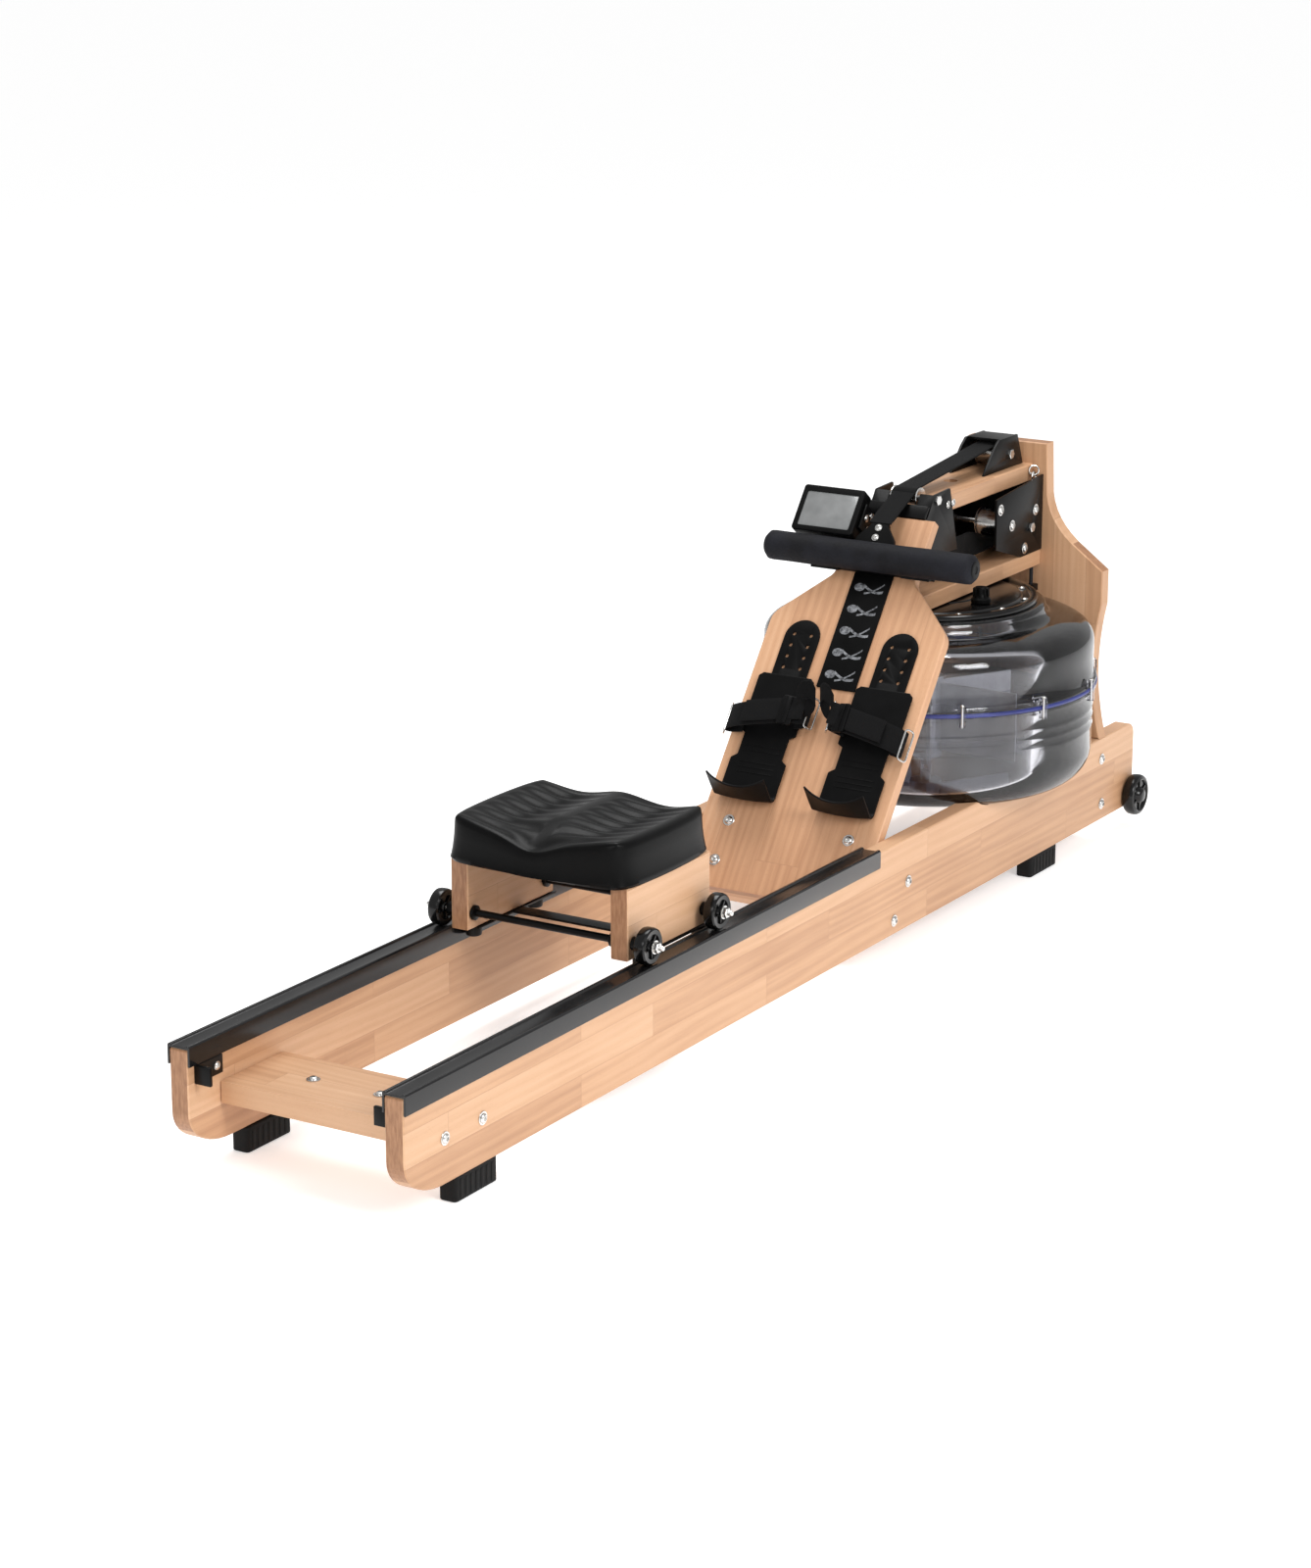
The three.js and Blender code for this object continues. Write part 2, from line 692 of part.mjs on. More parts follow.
// ---------------------------------------------------------------- drive
function paddle() {
  const low = tankBottom + tankWall + 6;
  const shaft = rodZ(shaftRadius, low, drumLevel + drumHeight / 2 + 14, 0, tankCentre, 20);
  const hub = rodZ(24, low + 14, low + 34 + bladeHeight, 0, tankCentre, 24);
  const blades = [];
  for (let i = 0; i < bladeCount; i += 1) {
    const blade = block([18, -1.5, low + 24], [paddleRadius, 1.5, low + 24 + bladeHeight]);
    blades.push(blade.rotateZ((i / bladeCount) * 2 * Math.PI).translate(0, tankCentre, 0));
  }
  place(machine, 'paddle', join(shaft, hub, ...blades), paint('#9a9ca0', 0.35, 0.8));
}

function driveDrum() {
  const low = drumLevel - drumHeight / 2;
  const high = drumLevel + drumHeight / 2;
  const bore = shaftRadius + running;
  const points = [
    [bore, low], [drumFlange, low], [drumFlange, low + 4], [drumRadius, low + 5],
    [drumRadius, high - 5], [drumFlange, high - 4], [drumFlange, high], [bore, high], [bore, low],
  ];
  place(machine, 'drive_drum', turned(points, 24).translate(0, tankCentre, 0), blackPlastic());
}

// A flanged roller turning with its own axle.
function pulley(radius, halfAxle, [y, height]) {
  const flange = radius + pulleyFlange;
  const points = [
    [0, -halfAxle], [axleRadius, -halfAxle], [axleRadius, -pulleyHalf], [flange, -pulleyHalf],
    [flange, -pulleyHalf + 2], [radius, -pulleyHalf + 3], [radius, pulleyHalf - 3],
    [flange, pulleyHalf - 2], [flange, pulleyHalf], [axleRadius, pulleyHalf],
    [axleRadius, halfAxle], [0, halfAxle],
  ];
  return turnedX(points, wheelSteps, y, level(height));
}

const bracketHalf = beamHalf + 1 + sheetThick;
const housingHalf = pulleyHalf + 4 + sheetThick;
const driveHalf = 63.5;

// A steel U over the footboard's neck that carries the front roller and the beam's rear end.
function rollerBracket() {
  const neck = boardNeckEnd + gap;
  const backOut = -boardThick - 1;
  const top = frontRollerAt[1] + 11;
  const side = outline([
    fromBoard(neck, backOut), fromBoard(neck, -6), fromBoard(547, -6),
    [beamStart + 22, level(top)], [beamStart + 48, level(470)], fromBoard(toBoard(1482, level(470))[0], backOut),
  ]);
  const plates = [[-bracketHalf, -bracketHalf + sheetThick], [bracketHalf - sheetThick, bracketHalf]]
    .map(([low, high]) => prismX(side, low, high));
  const front = block([-bracketHalf, neck, -10], [bracketHalf, 547, -6]);
  front.rotateX(boardLean).translate(0, boardStart, railTop);
  const window = block([-pulleyHalf - 3, neck + 12, -20], [pulleyHalf + 3, 560, 0]);
  window.rotateX(boardLean).translate(0, boardStart, railTop);
  const [y, height] = frontRollerAt;
  const axleHole = rodX(axleRadius + running, -bracketHalf - 5, bracketHalf + 5, y, level(height));
  place(machine, 'roller_bracket', cut(join(plates[0], plates[1], front), window, axleHole), blackSteel());
}

// The cheeks and bridge around the top pulley, standing on the beam.
function pulleyHousing() {
  const floor = level(beamBottom + beamThick) + gap;
  const [y, height] = topPulleyAt;
  const crown = level(height) + topPulleyRadius + beltThick + 4;
  const cheek = outline([
    [y - 88, floor], [y + 44, floor], [y + 24, crown + 4], [y - 38, crown + 4], [y - 52, crown - 6],
  ]);
  const cheeks = [[-housingHalf, -housingHalf + sheetThick], [housingHalf - sheetThick, housingHalf]]
    .map(([low, high]) => prismX(cheek, low, high));
  const bridge = block([-housingHalf, y - 30, crown], [housingHalf, y + 20, crown + 4]);
  const axleHole = rodX(axleRadius + running, -housingHalf - 5, housingHalf + 5, y, level(height));
  place(machine, 'pulley_housing', cut(join(cheeks[0], cheeks[1], bridge), axleHole), blackSteel());
}

// A steel U on the upright that carries the lower pulley between the shelf and the beam.
function driveBracket() {
  const rear = uprightStart - gap;
  const floor = shelfTop + gap;
  const cheek = outline([
    [rear - 157, floor + 26], [rear - 72, floor], [rear, floor],
    [rear, level(541)], [rear - 157, level(527)],
  ]);
  const cheeks = [[-driveHalf, -driveHalf + sheetThick], [driveHalf - sheetThick, driveHalf]]
    .map(([low, high]) => prismX(cheek, low, high));
  const back = block([-driveHalf, rear - sheetThick, floor], [driveHalf, rear, level(beamBottom) - 2]);
  const [y, height] = lowerPulleyAt;
  const axleHole = rodX(axleRadius + running, -driveHalf - 5, driveHalf + 5, y, level(height));
  place(machine, 'drive_bracket', cut(join(cheeks[0], cheeks[1], back), axleHole), blackSteel());
}

function pulleys() {
  place(machine, 'front_roller', pulley(frontRollerRadius, bracketHalf + 2, frontRollerAt), steel());
  place(machine, 'top_pulley', pulley(topPulleyRadius, housingHalf + 2, topPulleyAt), steel());
  place(machine, 'lower_pulley', pulley(lowerPulleyRadius, driveHalf + 3, lowerPulleyAt), steel());
}

// Points of the strap's middle around a pulley, from one angle to another, in degrees.
function wrap([y, height], radius, from, to, steps) {
  const points = [];
  for (let i = 0; i <= steps; i += 1) {
    const angle = THREE.MathUtils.degToRad(from + ((to - from) * i) / steps);
    const reach = radius + gap + beltThick / 2;
    points.push({ y: y + reach * Math.cos(angle), z: level(height) + reach * Math.sin(angle), angle });
  }
  return points;
}

const strapLift = 95; // degrees: where the strap leaves the front roller upwards
const strapLeave = 142; // degrees: where it leaves the front roller towards the handle

const strapTurn = -98; // degrees: where it leaves the lower pulley towards the drum
const twistEnd = 0.7; // share of the last run in which the strap turns upright

// The strap from the front roller over the top pulley, round the lower pulley and onto the drum.
function driveStrap() {
  const sections = [
    ...wrap(frontRollerAt, frontRollerRadius, strapLeave, strapLift, 4),
    ...wrap(topPulleyAt, topPulleyRadius, strapLift, -2, 8),
    ...wrap(lowerPulleyAt, lowerPulleyRadius, -2, strapTurn, 8),
  ].map(({ y, z, angle }) => ({
    at: new THREE.Vector3(0, y, z),
    across: new THREE.Vector3(1, 0, 0),
    out: new THREE.Vector3(0, Math.cos(angle), Math.sin(angle)),
  }));
  const from = sections[sections.length - 1].at;
  const reach = drumRadius + gap + beltThick / 2;
  const drum = new THREE.Vector3(0, tankCentre, drumLevel);
  const touch = Math.asin(reach / (from.y - tankCentre)); // where the strap meets the drum
  const onDrum = (angle) => new THREE.Vector3(Math.cos(angle), Math.sin(angle), 0);
  const arrival = drum.clone().addScaledVector(onDrum(touch), reach);
  for (let i = 1; i <= 8; i += 1) {
    const part = i / 8;
    const turn = Math.min(part / twistEnd, 1) * (Math.PI / 2);
    const at = arrival.clone().sub(from).multiplyScalar(part).add(from);
    const across = new THREE.Vector3(Math.cos(turn), 0, -Math.sin(turn));
    sections.push({ at, across, out: new THREE.Vector3(-Math.sin(turn), 0, -Math.cos(turn)) });
  }
  for (let i = 1; i <= 20; i += 1) {
    const outward = onDrum(touch - (i / 20) * Math.PI * 1.5);
    const at = drum.clone().addScaledVector(outward, reach);
    sections.push({ at, across: new THREE.Vector3(0, 0, -1), out: outward.negate() });
  }
  place(machine, 'drive_strap', ribbon(sections, 2 * strapHalf, beltThick), webbing());
}

// The stretch of strap between the handle's yoke and the front roller.
function pullStrap() {
  const [start] = wrap(frontRollerAt, frontRollerRadius, strapLeave, strapLeave, 1);
  const [along, out] = toBoard(start.y, start.z);
  const upper = new THREE.Vector3(0, along, out);
  const lower = new THREE.Vector3(0, yokeTop + 1, handleOut + 1);
  const run = upper.clone().sub(lower).normalize();
  const across = new THREE.Vector3(1, 0, 0);
  const normal = new THREE.Vector3().crossVectors(across, run);
  const sections = [lower, upper.addScaledVector(run, -1.5)].map((at) => ({ at, across, out: normal }));
  place(leaning, 'pull_strap', ribbon(sections, 2 * strapHalf, beltThick), webbing());
}

// ---------------------------------------------------------------- handle
function handleGrip() {
  const end = handleHalf;
  const points = [
    [0, -end], [gripRadius - 5, -end], [gripRadius - 1, -end + 3], [gripRadius, -end + 9],
    [gripRadius, end - 9], [gripRadius - 1, end - 3], [gripRadius - 5, end], [0, end],
  ];
  const grip = turnedX(points, 20, handleAlong, handleOut);
  const slotHalf = yokeThick / 2 + gap;
  const slot = block(
    [-14 - gap, handleAlong + 6, handleOut - slotHalf], [14 + gap, handleAlong + 40, handleOut + slotHalf]);
  place(leaning, 'handle_grip', cut(grip, slot), paint('#191a1e', 0.85));
}

// The plate that ties the strap to the grip, narrow at the strap and wide at the grip.
function handleYoke() {
  const clear = handleAlong + gripRadius + gap;
  const tongue = handleAlong + 6 + gap;
  const shape = outline([
    [-14, tongue], [14, tongue], [14, clear], [34, clear], [30, clear + 10],
    [15, yokeTop - 6], [13, yokeTop], [-13, yokeTop], [-15, yokeTop - 6], [-30, clear + 10],
    [-34, clear], [-14, clear],
  ]);
  const low = handleOut - yokeThick / 2;
  place(leaning, 'handle_yoke', prismZ(shape, low, low + yokeThick, 0.8), blackPlastic());
}

// Two cradles either side of the neck, on one strip across the footboard, that hold the resting grip.
function handleRest() {
  const reach = gripRadius + 0.6;
  const cradle = new THREE.Shape();
  cradle.absarc(handleAlong, handleOut, reach + 5, Math.PI * 1.17, Math.PI * 1.5);
  cradle.absarc(handleAlong, handleOut, reach, Math.PI * 1.5, Math.PI * 1.17, true);
  const strip = [[-98, handleAlong - restHalf, gap], [98, handleAlong + restHalf, handleOut - reach - 2]];
  const arms = [[-98, -52], [52, 98]].map(([low, high]) => prismX(cradle, low, high, 0, 8));
  place(leaning, 'handle_rest', join(block(...strip), ...arms), blackPlastic());
}

// ---------------------------------------------------------------- monitor
function monitorCase() {
  const shape = roundedRectangle(monitorLeft, monitorStart, monitorRight, monitorEnd, 5);
  const body = prismZ(shape, monitorBack, monitorFace, 1.2, 3);
  const window = block(
    [monitorLeft + 9, monitorStart + 10, monitorFace - 2.4], [monitorRight - 9, monitorEnd - 12, monitorFace + 5]);
  const [along, out] = monitorPivot;
  const pinHole = rodX(3 + running, monitorRight - 14, monitorRight + 5, along, out, 12);
  place(leaning, 'monitor_case', cut(body, window, pinHole), blackPlastic());
}

function monitorScreen() {
  const low = [monitorLeft + 9 + gap, monitorStart + 10 + gap, monitorFace - 2.4 + gap];
  const high = [monitorRight - 9 - gap, monitorEnd - 12 - gap, monitorFace - 0.6];
  place(leaning, 'monitor_screen', block(low, high), paint('#7d7f80', 0.2));
}

// An angle on the neck whose upright wall and pin carry the monitor.
function monitorBracket() {
  const web = monitorRight + 2;
  const [along, out] = monitorPivot;
  const flange = block([monitorRight - 24, along - 20, gap], [web + 3, along + 19, gap + 3]);
  const wall = block([web, along - 20, gap], [web + 3, along + 19, out + 10]);
  const pin = rodX(3, monitorRight - 12, web + 5, along, out, 12);
  place(leaning, 'monitor_bracket', join(flange, wall, pin), blackSteel());
}

// ---------------------------------------------------------------- seat
const seatWheelYs = [seatPanelStart + seatWheelInset, seatPanelStart + seatWheelInset + seatWheelBase];

function seatPanels() {
  const low = level(seatPanelBottom);
  const high = level(seatPanelTop);
  const start = [seatPanelHalf - seatPanelThick, seatPanelStart, low];
  const end = [seatPanelHalf, seatPanelStart + seatPanelLength, high];
  const holes = seatWheelYs.map((y) =>
    rodX(seatAxleRadius + gap, start[0] - 5, end[0] + 5, y, seatWheelLevel));
  placePair(machine, 'seat_panel', cut(block(start, end, edgeBevel), ...holes), wood);
}

function seatPad() {
  const low = level(seatPanelTop) + gap;
  const shape = roundedRectangle(
    -seatPadHalf, seatPadStart, seatPadHalf, seatPadStart + seatPadLength, 34);
  place(machine, 'seat_pad', prismZ(shape, low, low + seatPadHeight, 10, 6), paint('#151619', 0.6));
}

function seatAxles() {
  const reach = railCentre + seatWheelWidth / 2 + 8;
  const names = ['seat_axle_rear', 'seat_axle_front'];
  seatWheelYs.forEach((y, i) =>
    place(machine, names[i], rodX(seatAxleRadius, -reach, reach, y, seatWheelLevel), steel()));
}

function seatWheels() {
  const half = seatWheelWidth / 2;
  const bore = seatAxleRadius + running;
  const points = [
    [bore, -half], [seatWheelRadius - 4, -half], [seatWheelRadius - 1, -half + 2],
    [seatWheelRadius, -half + 5], [seatWheelRadius, half - 5], [seatWheelRadius - 1, half - 2],
    [seatWheelRadius - 4, half], [12, half], [11, half + 2], [bore, half + 2], [bore, -half],
  ];
  const names = ['seat_wheel_rear', 'seat_wheel_front'];
  seatWheelYs.forEach((y, i) => {
    const wheel = turnedX(points, wheelSteps, y, seatWheelLevel).translate(railCentre, 0, 0);
    placePair(machine, names[i], wheel, rubber);
  });
}

const guideCentre = railInner - gap - trackWall - running - guideRadius;
const guideYs = [seatPanelStart + guideInset, seatPanelStart + guideInset + guideBase];
const guideTop = level(seatPanelBottom) - gap - 3 - 1;

// A steel frame under the panels with a pin for each guide roller.
function guideFrame() {
  const high = level(seatPanelBottom) - gap;
  const low = high - 3;
  const [rear, front] = guideYs;
  const pieces = [-1, 1].map((side) => {
    const edges = [side * (guideCentre - 22), side * (guideCentre + 8)].sort((a, b) => a - b);
    return block([edges[0], rear - 20, low], [edges[1], front + 20, high]);
  });
  const middle = (rear + front) / 2;
  const strip = block([-guideCentre + 10, middle - 12, low], [guideCentre - 10, middle + 12, high]);
  const pins = [-1, 1].flatMap((side) => guideYs.map((y) =>
    rodZ(3, guideTop - guideWidth - 2, high - 1, side * guideCentre, y, 12)));
  place(machine, 'guide_frame', join(strip, ...pieces, ...pins), blackSteel());
}

function guideRollers() {
  const bore = 3 + running;
  const low = guideTop - guideWidth;
  const points = [
    [bore, low], [guideRadius - 2, low], [guideRadius, low + 2], [guideRadius, guideTop - 2],
    [guideRadius - 2, guideTop], [bore, guideTop], [bore, low],
  ];
  const names = ['guide_roller_rear', 'guide_roller_front'];
  guideYs.forEach((y, i) =>
    placePair(machine, names[i], turned(points, 12).translate(guideCentre, y, 0), rubber));
}

// ---------------------------------------------------------------- transport wheels
function transportWheels() {
  const inner = railOuter + 2;
  const outer = inner + transportWidth;
  const radius = transportRadius;
  const points = [
    [0, railInner + 1], [axleRadius, railInner + 1], [axleRadius, inner], [radius - 6, inner],
    [radius - 1, inner + 3], [radius, inner + 8], [radius, outer - 7], [radius - 3, outer - 2],
    [radius - 9, outer], [13, outer + 1], [10, outer + 4], [0, outer + 4],
  ];
  const wheel = turnedX(points, wheelSteps, railLength - transportInset, level(transportLift));
  placePair(machine, 'transport_wheel', wheel, () => paint('#0c0c0e', 0.15));
}

for (const build of [
  rails, rearCrossBoard, frontUpright, footboard, footboardCrosspiece, tankShelf, upperBeam, feet,
  tracks, endStops, footboardInsert, footTracks, heelSupports, footStraps,
  tankLowerShell, tankUpperShell, tankGasket, tankHubCover, fillPlug,
  paddle, driveDrum, rollerBracket, pulleyHousing, driveBracket, pulleys, driveStrap, pullStrap,
  handleGrip, handleYoke, handleRest, monitorCase, monitorScreen, monitorBracket,
  seatPanels, seatPad, seatAxles, seatWheels, guideFrame, guideRollers, transportWheels,
]) {
  build();
}

export default rower;
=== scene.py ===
# %% [markdown]
# # A wooden water rower
# This lesson gives a finished look to a rowing machine whose wooden frame, wheels and
# brackets already exist as plain solids. We load those solids as a fixed frame, give the
# good ones a material made of nodes, and stand finer pieces in for the rest.
#
# Every length is in metres. +X is the rower's right, +Y points at the tank and +Z is up.

# %% Load the frame
import math

import bpy
from mathutils import Matrix, Vector


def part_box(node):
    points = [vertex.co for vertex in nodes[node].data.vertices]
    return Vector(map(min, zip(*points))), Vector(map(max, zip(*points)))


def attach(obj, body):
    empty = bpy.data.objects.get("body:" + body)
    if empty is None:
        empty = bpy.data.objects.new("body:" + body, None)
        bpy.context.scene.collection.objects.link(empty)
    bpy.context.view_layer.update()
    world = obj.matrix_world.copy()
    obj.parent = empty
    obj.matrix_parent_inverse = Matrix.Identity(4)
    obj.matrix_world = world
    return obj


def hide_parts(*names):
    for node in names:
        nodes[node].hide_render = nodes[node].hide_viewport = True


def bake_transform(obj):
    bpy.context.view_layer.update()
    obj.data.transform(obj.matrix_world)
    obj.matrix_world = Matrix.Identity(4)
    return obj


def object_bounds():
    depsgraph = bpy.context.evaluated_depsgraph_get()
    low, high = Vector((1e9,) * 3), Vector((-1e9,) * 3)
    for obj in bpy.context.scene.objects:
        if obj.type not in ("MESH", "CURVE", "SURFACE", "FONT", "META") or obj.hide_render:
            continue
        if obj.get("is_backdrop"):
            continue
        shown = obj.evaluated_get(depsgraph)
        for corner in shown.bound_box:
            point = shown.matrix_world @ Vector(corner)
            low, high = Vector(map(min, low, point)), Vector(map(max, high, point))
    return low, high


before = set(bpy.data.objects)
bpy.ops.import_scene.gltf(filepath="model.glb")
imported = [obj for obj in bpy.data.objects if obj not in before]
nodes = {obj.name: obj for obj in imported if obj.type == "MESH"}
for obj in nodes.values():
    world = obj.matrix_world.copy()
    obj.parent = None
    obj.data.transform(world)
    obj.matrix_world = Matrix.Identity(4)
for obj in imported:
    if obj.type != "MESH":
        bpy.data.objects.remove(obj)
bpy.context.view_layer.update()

# %% [markdown]
# ## Camera
# The camera stands behind and to the right of the machine, a little above it, with a long
# lens. It could be set by hand in the viewport, but numbers give the same view each run.
# We build its rotation from the direction that it looks back along.

# %% Camera
camera_data = bpy.data.cameras.new("camera")
camera = bpy.data.objects.new("camera", camera_data)
bpy.context.scene.collection.objects.link(camera)
bpy.context.scene.camera = camera
camera_turn, camera_rise = math.radians(31.63), math.radians(15.79)
camera_back = Vector((math.sin(camera_turn) * math.cos(camera_rise),
                      -math.cos(camera_turn) * math.cos(camera_rise),
                      math.sin(camera_rise)))
camera.location = (2.6045, -4.4045, 1.7240)
camera.rotation_mode = "QUATERNION"
camera.rotation_quaternion = (-camera_back).to_track_quat("-Z", "Y")
camera_data.lens, camera_data.sensor_width = 88.13, 36
camera_data.clip_start, camera_data.clip_end = 0.05, 60
print("camera at", [round(v, 3) for v in camera.location])

# %% [markdown]
# ## Floor and light
# A studio shot of a light wooden object needs a pale floor, a bright even surround and one
# soft key light. Large area lights give the long soft highlights that show up glossy black
# plastic and the clear tank. The floor and lights are not part of the object.

# %% Floor and light
bpy.context.scene.view_settings.view_transform = "Standard"
world = bpy.data.worlds.new("studio")
world.use_nodes = True
sky = world.node_tree.nodes["Background"]
sky.inputs["Color"].default_value = (1, 1, 1, 1)
rays = world.node_tree.nodes.new("ShaderNodeLightPath")
level = world.node_tree.nodes.new("ShaderNodeMapRange")
world.node_tree.links.new(rays.outputs["Is Camera Ray"], level.inputs["Value"])
level.inputs["To Min"].default_value, level.inputs["To Max"].default_value = 0.55, 1.0
world.node_tree.links.new(level.outputs["Result"], sky.inputs["Strength"])
bpy.context.scene.world = world
bpy.ops.object.select_all(action="DESELECT")
bpy.ops.mesh.primitive_plane_add(size=40, location=(0, 0, -0.0005))
floor = bpy.context.active_object
floor.name = "floor"
floor_paint = bpy.data.materials.new("floor")
floor_paint.use_nodes = True
floor_paint.node_tree.nodes["Principled BSDF"].inputs["Base Color"].default_value = (0.93, 0.93, 0.93, 1)
floor_paint.node_tree.nodes["Principled BSDF"].inputs["Roughness"].default_value = 0.9
floor_paint.node_tree.nodes["Principled BSDF"].inputs["Emission Color"].default_value = (1, 1, 1, 1)
floor_paint.node_tree.nodes["Principled BSDF"].inputs["Emission Strength"].default_value = 0.47
floor.data.materials.append(floor_paint)
floor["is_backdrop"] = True


def softbox(name, place, aim, size, power):
    """A square area light that points at a place."""
    lamp = bpy.data.lights.new(name, "AREA")
    lamp.size, lamp.energy = size, power
    light = bpy.data.objects.new(name, lamp)
    bpy.context.scene.collection.objects.link(light)
    light.location = place
    light.rotation_mode = "QUATERNION"
    light.rotation_quaternion = (Vector(aim) - Vector(place)).to_track_quat("-Z", "Y")


softbox("key_light", (3.4, -1.4, 2.6), (0, 0, 0.2), 1.6, 95)
softbox("top_light", (-0.6, 0.6, 3.4), (0, 0, 0.2), 1.8, 70)
softbox("rear_light", (0.4, -4.2, 2.2), (0, -0.4, 0.2), 1.2, 22)
print("stage and three soft lights")

# %% [markdown]
# ## Writing shader maths as Python
# Noise, waves and masks are all numbers, and it is easier to read `streak * 0.6 + 0.2` than
# to place nodes one by one. `Value` wraps an output socket and turns each operator into a
# Math node. `Finish` holds one material, and its `node` method adds any other node.

# %% Sockets as values
class Value:
    """An output socket whose arithmetic adds Math nodes."""

    def __init__(self, tree, socket):
        self.tree, self.socket = tree, socket

    def math(self, operation, *others):
        node = self.tree.nodes.new("ShaderNodeMath")
        node.operation = operation
        for slot, value in enumerate((self, *others)):
            if isinstance(value, Value):
                self.tree.links.new(value.socket, node.inputs[slot])
            else:
                node.inputs[slot].default_value = value
        return Value(self.tree, node.outputs[0])

    def flipped(self, operation, other):
        node = self.tree.nodes.new("ShaderNodeMath")
        node.operation = operation
        node.inputs[0].default_value = other
        self.tree.links.new(self.socket, node.inputs[1])
        return Value(self.tree, node.outputs[0])

    def __add__(self, other):
        return self.math("ADD", other)

    __radd__ = __add__

    def __mul__(self, other):
        return self.math("MULTIPLY", other)

    __rmul__ = __mul__

    def __sub__(self, other):
        return self.math("SUBTRACT", other)

    def __rsub__(self, other):
        return self.flipped("SUBTRACT", other)

    def __pow__(self, power):
        return self.math("POWER", power)

    def above(self, level):
        return self.math("GREATER_THAN", level)

    def size(self):
        return self.math("ABSOLUTE")

    def sine(self):
        return self.math("SINE")


class Finish:
    """One node material: fixed numbers go on the shader's sockets, varying ones are linked."""

    def __init__(self, name, **fixed):
        self.material = bpy.data.materials.new(name)
        self.material.use_nodes = True
        self.tree = self.material.node_tree
        self.shader = self.tree.nodes["Principled BSDF"]
        for socket, value in fixed.items():
            self.shader.inputs[socket.replace("_", " ")].default_value = value

    def node(self, kind, settings, inputs, out=0):
        """Adds a node, sets its settings, then its sockets, and gives one output."""
        node = self.tree.nodes.new("ShaderNode" + kind)
        for key, value in settings.items():
            if key == "stops":
                ramp = node.color_ramp.elements
                while len(ramp) < len(value):
                    ramp.new(0.5)
                for element, (position, colour) in zip(ramp, value):
                    element.position, element.color = position, (*colour, 1)
            else:
                setattr(node, key, value)
        for key, value in inputs.items():
            if isinstance(value, Value):
                self.tree.links.new(value.socket, node.inputs[key])
            else:
                node.inputs[key].default_value = value
        return Value(self.tree, node.outputs[out])

    def place(self, order="XYZ", turn=(0, 0, 0), shift=(0, 0, 0), scale=(1, 1, 1), source="Object"):
        """Object, Normal or UV coordinates, turned, then with their axes put in another order."""
        found = self.node("TexCoord", {}, {}, source)
        found = self.node("Mapping", {}, {"Vector": found, "Rotation": turn, "Location": shift})
        if order != "XYZ":
            parts = [self.node("SeparateXYZ", {}, {"Vector": found}, axis) for axis in order]
            found = self.node("CombineXYZ", {}, dict(zip("XYZ", parts)))
        if scale != (1, 1, 1):
            found = self.node("VectorMath", {"operation": "MULTIPLY"}, {0: found, 1: scale})
        return found

    def axis(self, vector, name):
        return self.node("SeparateXYZ", {}, {"Vector": vector}, name)

    def noise(self, vector, scale, detail=2.0, roughness=0.5):
        return self.node("TexNoise", {}, {"Vector": vector, "Scale": scale, "Detail": detail,
                                          "Roughness": roughness})

    def scaled(self, vector, scale):
        return self.node("VectorMath", {"operation": "MULTIPLY"}, {0: vector, 1: scale})

    def ramp(self, value, *stops):
        return self.node("ValToRGB", {"stops": stops}, {"Fac": value})

    def mix(self, factor, first, second, kind="MIX"):
        """Two colours mixed."""
        pair = {6: (*first, 1) if isinstance(first, tuple) else first,
                7: (*second, 1) if isinstance(second, tuple) else second}
        return self.node("Mix", {"data_type": "RGBA", "blend_type": kind}, {0: factor, **pair}, 2)

    def bump(self, height, distance, strength=1.0):
        return self.node("Bump", {}, {"Height": height, "Distance": distance, "Strength": strength})

    def wear(self, **varying):
        """Links what varies over the surface to the shader."""
        for socket, value in varying.items():
            self.tree.links.new(value.socket, self.shader.inputs[socket.replace("_", " ")])
        return self.material


print("shader helpers ready")

# %% [markdown]
# ## Beech
# The boards are glued up from staves, so each stave has its own tint and its own grain. A
# Brick texture without mortar gives the staves. Noise stretched along the grain gives the
# streaks, a finer stretched noise gives pores, and short dark dashes are the rays that mark
# beech. Boards run in different directions, so the same recipe takes an order of axes:
# first along the grain, then across the board's face.

